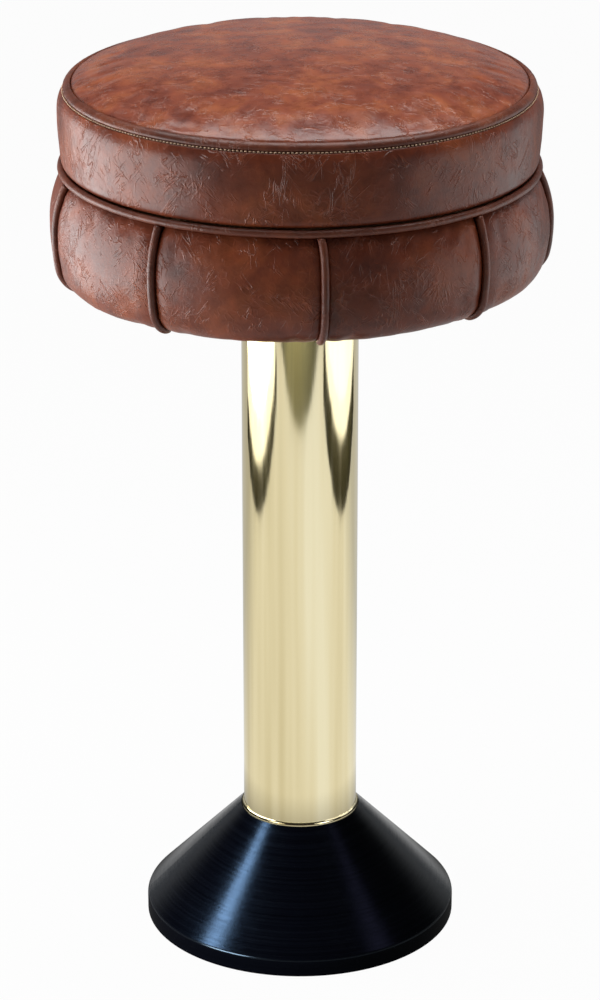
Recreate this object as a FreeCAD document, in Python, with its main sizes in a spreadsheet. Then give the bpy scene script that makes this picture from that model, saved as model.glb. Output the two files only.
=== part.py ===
import FreeCAD, Part
import Sketcher
import math
import os
import re

# Diner counter stool with a swivelling seat. All sizes in millimetres.
# The origin is on the floor, at the centre of the floor bolt circle; +Z is up.
# A radius is measured from the stool's axis, a height from the floor.

SIZES = {
    # floor flange, its collar and the webs between them
    "flange_radius": 115,
    "flange_thickness": 10,
    "floor_bolt_circle": 190.5,
    "floor_hole_radius": 6.5,
    "floor_hole_count": 4,
    "collar_wall": 9,
    "collar_height": 32,
    "gusset_thickness": 6,
    "gusset_reach": 42,
    "gusset_height": 28,
    "gusset_toe": 6,
    # slip is the radial clearance of pieces pushed together, running that of a turning shaft
    "slip": 0.1,
    "running": 0.05,
    # inner post
    "post_radius": 30.15,
    "post_wall": 3.9,
    "post_length": 576,
    # base cover, a spun cone with an upright rim
    "cover_radius": 139.5,
    "cover_rim": 15.5,
    "cover_height": 104,
    "cover_wall": 1.5,
    "cover_edge": 4,
    "cover_land": 5.3,
    "cover_margin": 0.4,
    # column sleeve with the small flared lip at its foot
    "sleeve_radius": 50.8,
    "sleeve_wall": 1.5,
    "sleeve_gap": 3.2,
    "lip_reach": 2.2,
    "lip_edge": 1.2,
    # rings that centre the sleeve, and the cap that closes it
    "ring_height": 14,
    "ring_drop": 1,
    "cap_wall": 1.5,
    "cap_recess": 2,
    "cap_clearance": 1.5,
    # turned housing in the top of the post, its bushes and its set screws
    "hub_length": 90,
    "hub_flange": 6,
    "hub_flange_radius": 33,
    "bush_wall": 3.2,
    "bush_length": 25,
    "set_screw_radius": 3,
    "set_screw_length": 9,
    "set_screw_drop": 32,
    "set_screw_count": 3,
    # thrust bearing
    "race_radius": 26,
    "race_thickness": 3.5,
    "race_gap": 4.4,
    "race_clearance": 0.4,
    "ball_circle_radius": 19.5,
    "ball_radius": 3.175,
    "ball_clearance": 0.125,
    "ball_count": 14,
    "cage_half_width": 4.8,
    "cage_thickness": 2.4,
    "pocket_clearance": 0.2,
    # spindle and what keeps it in the housing
    "spindle_radius": 12.7,
    "spindle_collar": 8.8,
    "spindle_tail": 6,
    "spindle_chamfer": 1.5,
    "end_play": 0.3,
    "thrust_washer_radius": 22,
    "thrust_washer_thickness": 2,
    "snap_depth": 1.2,
    "snap_width": 4.5,
    "snap_thickness": 1.3,
    "snap_angle": 300,
    # steel plate under the seat and its fixings
    "plate_radius": 80,
    "plate_thickness": 5,
    "seat_bolt_circle": 124,
    "seat_bolt_count": 4,
    "bolt_radius": 4,
    "bolt_length": 25,
    "bolt_head_height": 5.3,
    "bolt_head_radius": 7.5,
    "bolt_clearance": 0.4,
    "washer_radius": 8.5,
    "washer_thickness": 1.6,
    "t_nut_radius": 9.5,
    "t_nut_flange": 1.5,
    "t_nut_barrel": 4.9,
    "t_nut_depth": 9,
    # plywood frame of the seat
    "board_radius": 186,
    "board_thickness": 18,
    "hoop_wall": 16,
    "hoop_height": 55,
    "wood_screw_radius": 2,
    "wood_screw_head": 4,
    "wood_screw_head_height": 2.8,
    "wood_screw_length": 40,
    "wood_screw_count": 8,
    # soft cover: skin is its thickness, pad_gap its distance from the foam
    "skin": 2,
    "pad_gap": 0.3,
    "hem_width": 23,
    "cloth": 1,
    "cloth_margin": 8,
    "cloth_hole_margin": 2,
    "staple_width": 10,
    "staple_wire": 1.2,
    "staple_depth": 8,
    "staple_count": 24,
    # lower tier: belly is its widest place; each offset is a distance out from the boards' edge
    "band_belly_offset": 27.6,
    "band_belly_rise": 43.8,
    "band_low_arc": 129,
    "band_corner_arc": 23,
    "band_top_offset": 17.5,
    "panel_count": 9,
    "first_welt_angle": -84.5,
    "band_welt_radius": 4.2,
    "band_welt_sink": 0.5,
    # piping between the tiers
    "middle_welt_radius": 3.3,
    "middle_welt_offset": 16.6,
    "middle_welt_drop": 1.4,
    "middle_welt_tape": 1.6,
    "seam_gap": 0.5,
    "crevice": 1.1,
    # upper tier
    "boxing_height": 64.7,
    "boxing_shoulder": 17.1,
    "boxing_belly_offset": 19.95,
    "boxing_low_arc": 373,
    "boxing_corner_arc": 5,
    "boxing_top_outset": 2.28,
    "foam_bevel": 9,
    # piping round the top, and the low crown inside it
    "top_welt_radius": 2.6,
    "top_welt_offset": 8.92,
    "top_welt_rise": 1.9,
    "crown_edge_inset": 1.9,
    "crown_edge_rise": 2.45,
    "crown_shoulder_offset": 29.42,
    "crown_shoulder_arc": 41,
    "crown_arc": 1330,
}

# Places are worked out from the sizes, from the floor upwards.
PLACES = {
    # floor flange and post
    "floor_hole_place": "floor_bolt_circle / 2",
    "collar_bore": "post_radius + slip",
    "collar_radius": "collar_bore + collar_wall",
    "collar_top": "flange_thickness + collar_height",
    "gusset_tip": "collar_radius + gusset_reach",
    "gusset_shoulder": "collar_radius + gusset_toe",
    "gusset_toe_top": "flange_thickness + gusset_toe",
    "gusset_top": "flange_thickness + gusset_height",
    "post_bore": "post_radius - post_wall",
    "post_top": "flange_thickness + post_length",
    # base cover: its slope, then the rounded edge outside and inside
    "cover_neck": "sleeve_radius + lip_reach + cover_margin",
    "cover_run": "cover_radius - cover_neck",
    "cover_climb": "cover_height - cover_rim",
    "cover_slant": "sqrt(cover_run ^ 2 + cover_climb ^ 2)",
    "cover_edge_turn": "cover_run / (cover_slant + cover_climb)",
    "cover_neck_turn": "cover_climb / (cover_slant + cover_run)",
    "cover_edge_length": "cover_edge * cover_edge_turn",
    "cover_edge_low": "cover_rim - cover_edge_length",
    "cover_edge_radius": "cover_radius - cover_edge_length * cover_run / cover_slant",
    "cover_edge_high": "cover_rim + cover_edge_length * cover_climb / cover_slant",
    "cover_inner": "cover_radius - cover_wall",
    "cover_inner_rim": "cover_rim - cover_wall * cover_edge_turn",
    "cover_inner_arc": "cover_edge - cover_wall",
    "cover_inner_length": "cover_inner_arc * cover_edge_turn",
    "cover_inner_low": "cover_inner_rim - cover_inner_length",
    "cover_inner_radius": "cover_inner - cover_inner_length * cover_run / cover_slant",
    "cover_inner_high": "cover_inner_rim + cover_inner_length * cover_climb / cover_slant",
    "cover_inner_neck": "cover_neck - cover_wall * cover_neck_turn",
    "cover_inner_top": "cover_height - cover_wall",
    "land_bore": "sleeve_radius - sleeve_wall - cover_land",
    # thrust bearing on the housing
    "hub_top": "post_top + hub_flange",
    "hub_bottom": "post_top - hub_length",
    "lower_race_top": "hub_top + race_thickness",
    "ball_level": "lower_race_top + race_gap / 2",
    "upper_race_bottom": "lower_race_top + race_gap",
    "upper_race_top": "upper_race_bottom + race_thickness",
    "race_bore": "spindle_radius + race_clearance",
    "groove_arc": "ball_radius + ball_clearance",
    "groove_half": "sqrt(groove_arc ^ 2 - (race_gap / 2) ^ 2)",
    "groove_inner": "ball_circle_radius - groove_half",
    "groove_outer": "ball_circle_radius + groove_half",
    "cage_inner": "ball_circle_radius - cage_half_width",
    "cage_outer": "ball_circle_radius + cage_half_width",
    "cage_bottom": "ball_level - cage_thickness / 2",
    "cage_top": "ball_level + cage_thickness / 2",
    "pocket_radius": "ball_radius + pocket_clearance",
    # housing and bushes
    "hub_radius": "post_bore - slip",
    "bush_bore": "spindle_radius + running",
    "bush_radius": "bush_bore + bush_wall",
    "hub_bore": "bush_radius + running",
    "upper_bush_bottom": "hub_top - bush_length",
    "lower_bush_top": "hub_bottom + bush_length",
    "set_screw_height": "post_top - set_screw_drop",
    "set_screw_start": "post_radius - set_screw_length",
    "set_screw_hole": "set_screw_radius + running",
    # spindle, downwards from the housing
    "thrust_washer_top": "hub_bottom - end_play",
    "thrust_washer_bottom": "thrust_washer_top - thrust_washer_thickness",
    "thrust_washer_bore": "spindle_radius + slip",
    "snap_bottom": "thrust_washer_bottom - snap_thickness",
    "snap_seat": "spindle_radius - snap_depth",
    "snap_bore": "snap_seat + running",
    "snap_radius": "snap_seat + snap_width",
    "snap_groove_bottom": "snap_bottom - running",
    "snap_groove_top": "thrust_washer_bottom + running",
    "spindle_bottom": "snap_groove_bottom - spindle_tail",
    "spindle_end": "spindle_radius - spindle_chamfer",
    "spindle_end_height": "spindle_bottom + spindle_chamfer",
    # seat plate and its fixings
    "plate_bottom": "upper_race_top + spindle_collar",
    "plate_top": "plate_bottom + plate_thickness",
    "plate_bore": "spindle_radius + slip",
    "seat_bolt_place": "seat_bolt_circle / 2",
    "seat_bolt_hole": "bolt_radius + bolt_clearance",
    "washer_bottom": "plate_bottom - washer_thickness",
    "bolt_head_bottom": "washer_bottom - bolt_head_height",
    "t_nut_bore": "bolt_radius + running",
    "t_nut_hole": "t_nut_barrel + slip",
    # column sleeve, its rings and its cap
    "sleeve_bore": "sleeve_radius - sleeve_wall",
    "lip_radius": "sleeve_radius + lip_reach",
    "lip_low": "cover_height + lip_edge",
    "lip_high": "lip_low + lip_reach",
    "sleeve_top": "plate_bottom - sleeve_gap",
    "ring_bore": "post_radius + slip",
    "ring_radius": "sleeve_bore - slip",
    "lower_ring_top": "cover_height + ring_height",
    "upper_ring_top": "post_top - ring_drop",
    "upper_ring_bottom": "upper_ring_top - ring_height",
    "cap_inner": "ring_radius - cap_wall",
    "cap_hole": "race_radius + cap_clearance",
    "cap_top": "sleeve_top - cap_recess",
    "cap_under": "cap_top - cap_wall",
    # boards
    "base_board_top": "plate_top + board_thickness",
    "hoop_bore": "board_radius - hoop_wall",
    "hoop_top": "base_board_top + hoop_height",
    "top_board_top": "hoop_top + board_thickness",
    "t_nut_top": "base_board_top + t_nut_flange",
    "t_nut_bottom": "base_board_top - t_nut_depth",
    "wood_screw_place": "board_radius - hoop_wall / 2",
    "wood_screw_hole": "wood_screw_radius + running",
    "wood_screw_sink": "wood_screw_head + running",
    # soft cover under the seat
    "skin_bottom": "plate_top - skin",
    "cloth_bottom": "skin_bottom - cloth",
    "cloth_hole": "plate_radius + cloth_hole_margin",
    "cloth_radius": "band_corner_radius - cloth_margin",
    "hem_inner": "band_corner_radius - hem_width",
    "staple_place": "(cloth_radius + hem_inner) / 2",
    "pad_depth": "skin + pad_gap",
    "pad_bore": "board_radius + pad_gap",
    # lower tier
    "band_bottom": "skin_bottom",
    "band_belly_radius": "board_radius + band_belly_offset",
    "band_top_radius": "board_radius + band_top_offset",
    "band_belly_height": "skin_bottom + band_belly_rise",
    "band_top_height": "middle_welt_height - middle_welt_radius - seam_gap",
    "band_welt_centre": "skin_bottom + band_welt_sink",
    "band_welt_low": "band_welt_centre - band_welt_radius",
    "band_welt_right": "sqrt(band_welt_radius ^ 2 - (skin - band_welt_sink) ^ 2)",
    "band_welt_left": "-band_welt_right",
    "panel_angle": "360 / panel_count - 2 * (band_welt_right + pad_gap) / band_corner_radius * 180 / pi",
    "panel_turn": "first_welt_angle + 180 / panel_count",
    # piping between the tiers
    "middle_welt_ring": "board_radius + middle_welt_offset",
    "middle_welt_height": "top_board_top - middle_welt_drop",
    "middle_welt_outer": "middle_welt_ring + middle_welt_radius",
    "middle_tape_low": "middle_welt_height - middle_welt_tape / 2",
    "middle_tape_high": "middle_welt_height + middle_welt_tape / 2",
    "middle_tape_meet": "middle_welt_ring - sqrt(middle_welt_radius ^ 2 - (middle_welt_tape / 2) ^ 2)",
    # upper tier
    "boxing_bottom": "middle_welt_height + middle_welt_radius + crevice",
    "boxing_belly_radius": "board_radius + boxing_belly_offset",
    "boxing_top_height": "boxing_bottom + boxing_height",
    "boxing_belly_height": "boxing_top_height - boxing_shoulder",
    "boxing_top_radius": "top_welt_ring + boxing_top_outset",
    "top_welt_ring": "board_radius + top_welt_offset",
    "top_welt_height": "boxing_top_height + top_welt_rise",
    # crown, inwards from its edge
    "crown_flat": "top_welt_ring - crown_shoulder_offset",
    "crown_edge": "top_welt_ring - crown_edge_inset",
    "crown_edge_height": "top_welt_height + crown_edge_rise",
    "crown_shoulder_height": "crown_edge_height - sqrt(crown_shoulder_arc ^ 2 - (crown_edge - crown_flat) ^ 2)",
    "crown_centre": "crown_shoulder_height - sqrt((crown_arc - crown_shoulder_arc) ^ 2 - crown_flat ^ 2)",
    "crown_share": "crown_arc / (crown_arc - crown_shoulder_arc)",
    "crown_turn": "crown_flat * crown_share",
    "crown_turn_height": "crown_centre + (crown_shoulder_height - crown_centre) * crown_share",
    "crown_top": "crown_centre + crown_arc",
    # foam corner cut back below the top piping
    "foam_edge": "crown_edge - foam_bevel",
    "foam_edge_height": "crown_shoulder_height"
    " + sqrt((crown_shoulder_arc - pad_depth) ^ 2 - (foam_edge - crown_flat) ^ 2)",
    "foam_side_height": "boxing_top_height - foam_bevel",
    "foam_side": "boxing_high_centre"
    " + sqrt((boxing_high_arc - pad_depth) ^ 2 - (foam_side_height - boxing_belly_height) ^ 2)",
}


def add_tier_places(tier):
    """A tier's side is a corner arc, a low arc up to the belly and a high arc above it, all tangent."""
    names = {
        "low_centre": "T_belly_radius - T_low_arc",
        "corner_height": "T_bottom + T_corner_arc",
        "corner_radius": "T_low_centre + sqrt((T_low_arc - T_corner_arc) ^ 2"
        " - (T_belly_height - T_corner_height) ^ 2)",
        "heel_share": "T_low_arc / (T_low_arc - T_corner_arc)",
        "heel_radius": "T_low_centre + (T_corner_radius - T_low_centre) * T_heel_share",
        "heel_height": "T_belly_height - (T_belly_height - T_corner_height) * T_heel_share",
        "high_arc": "((T_belly_radius - T_top_radius) ^ 2 + (T_top_height - T_belly_height) ^ 2)"
        " / (2 * (T_belly_radius - T_top_radius))",
        "high_centre": "T_belly_radius - T_high_arc",
    }
    for name, formula in names.items():
        PLACES[f"{tier}_{name}"] = formula.replace("T_", f"{tier}_")


def add_tier_depth(tier, depth):
    """The same side, drawn in from its outside by a depth."""
    names = {
        "corner_arc": f"T_corner_arc - {depth}",
        "bottom": f"T_bottom + {depth}",
        "heel_radius": f"T_low_centre + (T_heel_radius - T_low_centre) * (1 - {depth} / T_low_arc)",
        "heel_height": f"T_belly_height - (T_belly_height - T_heel_height) * (1 - {depth} / T_low_arc)",
        "low_arc": f"T_low_arc - {depth}",
        "belly_radius": f"T_belly_radius - {depth}",
        "high_arc": f"T_high_arc - {depth}",
        "top_radius": f"T_high_centre + (T_top_radius - T_high_centre) * (1 - {depth} / T_high_arc)",
        "top_height": f"T_belly_height + (T_top_height - T_belly_height) * (1 - {depth} / T_high_arc)",
    }
    for name, formula in names.items():
        PLACES[f"{tier}_{depth}_{name}"] = formula.replace("T_", f"{tier}_")


def add_crown_depth(depth):
    """The crown's two arcs, drawn in from its outside by a depth."""
    shoulder = f"(1 - {depth} / crown_shoulder_arc)"
    dome = f"(1 - {depth} / crown_arc)"
    PLACES[f"crown_{depth}_shoulder_arc"] = f"crown_shoulder_arc - {depth}"
    PLACES[f"crown_{depth}_arc"] = f"crown_arc - {depth}"
    PLACES[f"crown_{depth}_edge"] = f"crown_flat + (crown_edge - crown_flat) * {shoulder}"
    PLACES[f"crown_{depth}_edge_height"] = (
        f"crown_shoulder_height + (crown_edge_height - crown_shoulder_height) * {shoulder}"
    )
    PLACES[f"crown_{depth}_turn"] = f"crown_turn * {dome}"
    PLACES[f"crown_{depth}_turn_height"] = f"crown_centre + (crown_turn_height - crown_centre) * {dome}"
    PLACES[f"crown_{depth}_top"] = f"crown_top - {depth}"


for each_tier in ("band", "boxing"):
    add_tier_places(each_tier)
    for each_depth in ("skin", "pad_depth"):
        add_tier_depth(each_tier, each_depth)
for each_depth in ("skin", "pad_depth"):
    add_crown_depth(each_depth)

doc = FreeCAD.newDocument("counter_stool")


def reference(formula):
    """The formula with each size or place written with the sheet that holds it."""

    def with_sheet(found):
        word = found.group(0)
        if word in SIZES:
            return f"sizes.{word}"
        if word in PLACES:
            return f"places.{word}"
        return word

    return re.sub(r"[a-z][a-z_0-9]*", with_sheet, formula)


def fill_sheet(name, contents):
    """One row for each value: its name, and the cell that carries the name as its alias."""
    sheet = doc.addObject("Spreadsheet::Sheet", name)
    for row, (alias, content) in enumerate(contents.items(), start=1):
        sheet.set(f"A{row}", alias)
        sheet.set(f"B{row}", content)
        sheet.setAlias(f"B{row}", alias)
    return sheet


sizes = fill_sheet("sizes", {name: str(number) for name, number in SIZES.items()})
doc.recompute()
places = doc.addObject("Spreadsheet::Sheet", "places")
for place_row, place_name in enumerate(PLACES, start=1):
    places.set(f"A{place_row}", place_name)
    places.setAlias(f"B{place_row}", place_name)
for place_row, place_formula in enumerate(PLACES.values(), start=1):
    own_formula = reference(place_formula).replace("places.", "")
    places.set(f"B{place_row}", f"={own_formula}")
doc.recompute()


def value(name):
    """The number that a size or place has now."""
    sheet = sizes if name in SIZES else places
    return float(getattr(sheet, name))


def bind(item, setting, formula):
    """Tie one setting of an object to the sheets."""
    item.setExpression(setting, reference(formula))


def new_body(label):
    """An empty sub-part; its label is its node's name."""
    body = doc.addObject("PartDesign::Body", label)
    body.Label = label
    body.AllowCompound = True
    return body


def origin_feature(body, role):
    """One of the body's own origin planes or axes."""
    return next(item for item in body.Origin.OriginFeatures if item.Role == role)


def attach(item, body, role):
    """Put a sketch or primitive on one of its body's origin planes."""
    item.AttachmentSupport = [(origin_feature(body, role), "")]
    item.MapMode = "FlatFace"


def hold_point(sketch, geometry, end, across, up):
    """Tie a point of a sketch to its two places; axis and floor stand for the sketch's own axes."""
    if across == "axis":
        sketch.addConstraint(Sketcher.Constraint("PointOnObject", geometry, end, -2))
    else:
        row = sketch.addConstraint(
            Sketcher.Constraint("DistanceX", -1, 1, geometry, end, value(across))
        )
        bind(sketch, f"Constraints[{row}]", across)
    if up == "floor":
        sketch.addConstraint(Sketcher.Constraint("PointOnObject", geometry, end, -1))
    else:
        row = sketch.addConstraint(
            Sketcher.Constraint("DistanceY", -1, 1, geometry, end, value(up))
        )
        bind(sketch, f"Constraints[{row}]", up)


def point_of(corner):
    """Where a corner of an outline lies now."""
    across = 0.0 if corner[0] == "axis" else value(corner[0])
    up = 0.0 if corner[1] == "floor" else value(corner[1])
    return FreeCAD.Vector(across, up, 0)


def stroke(start, corner):
    """The line or arc that leads to a corner; an arc's centre is left or right of the way there."""
    end = point_of(corner)
    if len(corner) == 2:
        return Part.LineSegment(start, end)
    radius = value(corner[2])
    way = end - start
    normal = FreeCAD.Vector(-way.y, way.x, 0).normalize()
    if corner[3] == "right":
        normal = -normal
    rise = math.sqrt(radius ** 2 - (way.Length / 2) ** 2)
    centre = (start + end) * 0.5 + normal * rise
    return Part.Arc(start, centre - normal * radius, end)


def draw(sketch, outline, closed=True):
    """Draw an outline: corners are (across, up), or (across, up, radius, side) at the end of an arc."""
    corners = outline if closed else outline[1:]
    before = outline[-1] if closed else outline[0]
    ends = []
    for corner in corners:
        start = point_of(before)
        geometry = sketch.addGeometry(stroke(start, corner), False)
        forwards = sketch.getPoint(geometry, 1).distanceToPoint(start) < 1e-6
        first, last = (1, 2) if forwards else (2, 1)
        hold_point(sketch, geometry, last, corner[0], corner[1])
        if len(corner) == 4:
            row = sketch.addConstraint(Sketcher.Constraint("Radius", geometry, value(corner[2])))
            bind(sketch, f"Constraints[{row}]", corner[2])
        ends.append((geometry, first, last))
        before = corner
    for index in range(1, len(ends)):
        joined = (ends[index - 1][0], ends[index - 1][2], ends[index][0], ends[index][1])
        sketch.addConstraint(Sketcher.Constraint("Coincident", *joined))
    if closed:
        joined = (ends[-1][0], ends[-1][2], ends[0][0], ends[0][1])
        sketch.addConstraint(Sketcher.Constraint("Coincident", *joined))
    else:
        hold_point(sketch, ends[0][0], ends[0][1], outline[0][0], outline[0][1])


def new_sketch(body, role, outline, closed=True):
    """A sketch on one of the body's origin planes."""
    sketch = body.newObject("Sketcher::SketchObject", f"{body.Label}_sketch")
    attach(sketch, body, role)
    draw(sketch, outline, closed)
    return sketch


def revolve(label, outline, angle="360"):
    """A body turned round the stool's axis from an outline of radius and height."""
    body = new_body(label)
    sketch = new_sketch(body, "XZ_Plane", outline)
    turn = body.newObject("PartDesign::Revolution", f"{label}_turn")
    turn.Profile = sketch
    turn.ReferenceAxis = (sketch, ["V_Axis"])
    turn.Midplane = True
    bind(turn, "Angle", angle)
    sketch.Visibility = False
    return body


def tube(label, inner, outer, bottom, top):
    """A body with a plain square section."""
    return revolve(label, [(inner, bottom), (outer, bottom), (outer, top), (inner, top)])


def primitive(body, kind, place, height, settings):
    """A primitive of a body at a radius and height, with its settings tied to the sheets."""
    item = body.newObject(f"PartDesign::{kind}", f"{body.Label}_{kind}")
    attach(item, body, "XY_Plane")
    for setting, formula in settings.items():
        bind(item, setting, formula)
    bind(item, "AttachmentOffset.Base.x", place)
    bind(item, "AttachmentOffset.Base.z", height)
    return item


def repeat_round(body, originals, count):
    """Repeat features round the stool's axis."""
    pattern = body.newObject("PartDesign::PolarPattern", f"{body.Label}_pattern")
    pattern.Originals = originals
    pattern.Axis = (origin_feature(body, "Z_Axis"), [""])
    pattern.Angle = 360
    bind(pattern, "Occurrences", count)
    body.Tip = pattern
    return pattern


def drill_round(body, place, radius, bottom, length, count):
    """Cut a ring of upright round holes."""
    hole = primitive(
        body, "SubtractiveCylinder", place, bottom, {"Radius": radius, "Height": length}
    )
    repeat_round(body, [hole], count)


def turn_body(body, angle):
    """Turn a body about the stool's axis."""
    body.Placement = FreeCAD.Placement(
        FreeCAD.Vector(0, 0, 0), FreeCAD.Rotation(FreeCAD.Vector(0, 0, 1), value(angle))
    )
    bind(body, "Placement.Rotation.Angle", angle)


def up_the_side(tier, depth=None):
    """A tier's side from its corner to its top, as arcs of an outline."""
    name = f"{tier}_{depth}" if depth else tier
    return [
        (f"{tier}_corner_radius", f"{name}_bottom"),
        (f"{name}_heel_radius", f"{name}_heel_height", f"{name}_corner_arc", "left"),
        (f"{name}_belly_radius", f"{tier}_belly_height", f"{name}_low_arc", "left"),
        (f"{name}_top_radius", f"{name}_top_height", f"{name}_high_arc", "left"),
    ]


def down_the_side(tier, depth):
    """The same side drawn in by a depth, from its top to its corner."""
    name = f"{tier}_{depth}"
    return [
        (f"{name}_top_radius", f"{name}_top_height"),
        (f"{name}_belly_radius", f"{tier}_belly_height", f"{name}_high_arc", "right"),
        (f"{name}_heel_radius", f"{name}_heel_height", f"{name}_low_arc", "right"),
        (f"{tier}_corner_radius", f"{name}_bottom", f"{name}_corner_arc", "right"),
    ]


def make_floor_parts():
    """Floor flange with its collar, webs and post."""
    flange = revolve(
        "floor_flange",
        [
            ("collar_bore", "floor"),
            ("flange_radius", "floor"),
            ("flange_radius", "flange_thickness"),
            ("collar_radius", "flange_thickness"),
            ("collar_radius", "collar_top"),
            ("collar_bore", "collar_top"),
        ],
    )
    drill_round(
        flange, "floor_hole_place", "floor_hole_radius", "0", "flange_thickness", "floor_hole_count"
    )
    gussets = new_body("gussets")
    sketch = new_sketch(
        gussets,
        "XZ_Plane",
        [
            ("collar_radius", "flange_thickness"),
            ("gusset_tip", "flange_thickness"),
            ("gusset_tip", "gusset_toe_top"),
            ("gusset_shoulder", "gusset_top"),
            ("collar_radius", "gusset_top"),
        ],
    )
    web = gussets.newObject("PartDesign::Pad", "gusset_web")
    web.Profile = sketch
    web.Midplane = True
    bind(web, "Length", "gusset_thickness")
    sketch.Visibility = False
    repeat_round(gussets, [web], "floor_hole_count")
    gussets.Placement = FreeCAD.Placement(
        FreeCAD.Vector(0, 0, 0), FreeCAD.Rotation(FreeCAD.Vector(0, 0, 1), 45)
    )
    bind(gussets, "Placement.Rotation.Angle", "180 / floor_hole_count")
    post = tube("inner_post", "post_bore", "post_radius", "flange_thickness", "post_top")
    drill_set_screws(post)


def radial_cylinder(body, kind, start, radius, length):
    """A cylinder lying along the radius at the height of the set screws."""
    item = body.newObject(f"PartDesign::{kind}", f"{body.Label}_{kind}")
    attach(item, body, "YZ_Plane")
    for setting, formula in {"Radius": radius, "Height": length}.items():
        bind(item, setting, formula)
    bind(item, "AttachmentOffset.Base.y", "set_screw_height")
    bind(item, "AttachmentOffset.Base.z", start)
    return item


def drill_set_screws(body):
    """Cut the ring of radial holes for the set screws."""
    hole = radial_cylinder(
        body, "SubtractiveCylinder", "set_screw_start", "set_screw_hole", "set_screw_length + slip"
    )
    repeat_round(body, [hole], "set_screw_count")


def make_cover_and_sleeve():
    """The spun base cover and the bright sleeve that stands on it."""
    revolve(
        "base_cover",
        [
            ("cover_inner", "floor"),
            ("cover_radius", "floor"),
            ("cover_radius", "cover_edge_low"),
            ("cover_edge_radius", "cover_edge_high", "cover_edge", "left"),
            ("cover_neck", "cover_height"),
            ("land_bore", "cover_height"),
            ("land_bore", "cover_inner_top"),
            ("cover_inner_neck", "cover_inner_top"),
            ("cover_inner_radius", "cover_inner_high"),
            ("cover_inner", "cover_inner_low", "cover_inner_arc", "right"),
        ],
    )
    revolve(
        "column_sleeve",
        [
            ("sleeve_bore", "cover_height"),
            ("lip_radius", "cover_height"),
            ("lip_radius", "lip_low"),
            ("sleeve_radius", "lip_high", "lip_reach", "right"),
            ("sleeve_radius", "sleeve_top"),
            ("sleeve_bore", "sleeve_top"),
        ],
    )
    tube("sleeve_lower_ring", "ring_bore", "ring_radius", "cover_height", "lower_ring_top")
    tube("sleeve_upper_ring", "ring_bore", "ring_radius", "upper_ring_bottom", "upper_ring_top")
    revolve(
        "sleeve_cap",
        [
            ("cap_inner", "upper_ring_top"),
            ("ring_radius", "upper_ring_top"),
            ("ring_radius", "cap_top"),
            ("cap_hole", "cap_top"),
            ("cap_hole", "cap_under"),
            ("cap_inner", "cap_under"),
        ],
    )


def make_bearing():
    """Housing, bushes, set screws and the thrust bearing."""
    hub = revolve(
        "bearing_hub",
        [
            ("hub_bore", "hub_bottom"),
            ("hub_radius", "hub_bottom"),
            ("hub_radius", "post_top"),
            ("hub_flange_radius", "post_top"),
            ("hub_flange_radius", "hub_top"),
            ("hub_bore", "hub_top"),
        ],
    )
    drill_set_screws(hub)
    tube("upper_bushing", "bush_bore", "bush_radius", "upper_bush_bottom", "hub_top")
    tube("lower_bushing", "bush_bore", "bush_radius", "hub_bottom", "lower_bush_top")
    screws = new_body("hub_set_screws")
    screw = radial_cylinder(
        screws, "AdditiveCylinder", "set_screw_start + slip", "set_screw_radius", "set_screw_length - slip"
    )
    repeat_round(screws, [screw], "set_screw_count")
    revolve(
        "lower_race",
        [
            ("race_bore", "hub_top"),
            ("race_radius", "hub_top"),
            ("race_radius", "lower_race_top"),
            ("groove_outer", "lower_race_top"),
            ("groove_inner", "lower_race_top", "groove_arc", "right"),
            ("race_bore", "lower_race_top"),
        ],
    )
    revolve(
        "upper_race",
        [
            ("race_bore", "upper_race_bottom"),
            ("groove_inner", "upper_race_bottom"),
            ("groove_outer", "upper_race_bottom", "groove_arc", "right"),
            ("race_radius", "upper_race_bottom"),
            ("race_radius", "upper_race_top"),
            ("race_bore", "upper_race_top"),
        ],
    )
    cage = tube("ball_cage", "cage_inner", "cage_outer", "cage_bottom", "cage_top")
    drill_round(
        cage, "ball_circle_radius", "pocket_radius", "cage_bottom", "cage_thickness", "ball_count"
    )
    balls = new_body("bearing_balls")
    ball = primitive(
        balls, "AdditiveSphere", "ball_circle_radius", "ball_level", {"Radius": "ball_radius"}
    )
    repeat_round(balls, [ball], "ball_count")


def make_spindle():
    """The turning shaft with its collar, thrust washer and retaining ring."""
    revolve(
        "spindle",
        [
            ("axis", "spindle_bottom"),
            ("spindle_end", "spindle_bottom"),
            ("spindle_radius", "spindle_end_height"),
            ("spindle_radius", "snap_groove_bottom"),
            ("snap_seat", "snap_groove_bottom"),
            ("snap_seat", "snap_groove_top"),
            ("spindle_radius", "snap_groove_top"),
            ("spindle_radius", "upper_race_top"),
            ("race_radius", "upper_race_top"),
            ("race_radius", "plate_bottom"),
            ("spindle_radius", "plate_bottom"),
            ("spindle_radius", "plate_top"),
            ("axis", "plate_top"),
        ],
    )
    tube(
        "thrust_washer",
        "thrust_washer_bore",
        "thrust_washer_radius",
        "thrust_washer_bottom",
        "thrust_washer_top",
    )
    revolve(
        "retaining_ring",
        [
            ("snap_bore", "snap_bottom"),
            ("snap_radius", "snap_bottom"),
            ("snap_radius", "thrust_washer_bottom"),
            ("snap_bore", "thrust_washer_bottom"),
        ],
        "snap_angle",
    )


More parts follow.
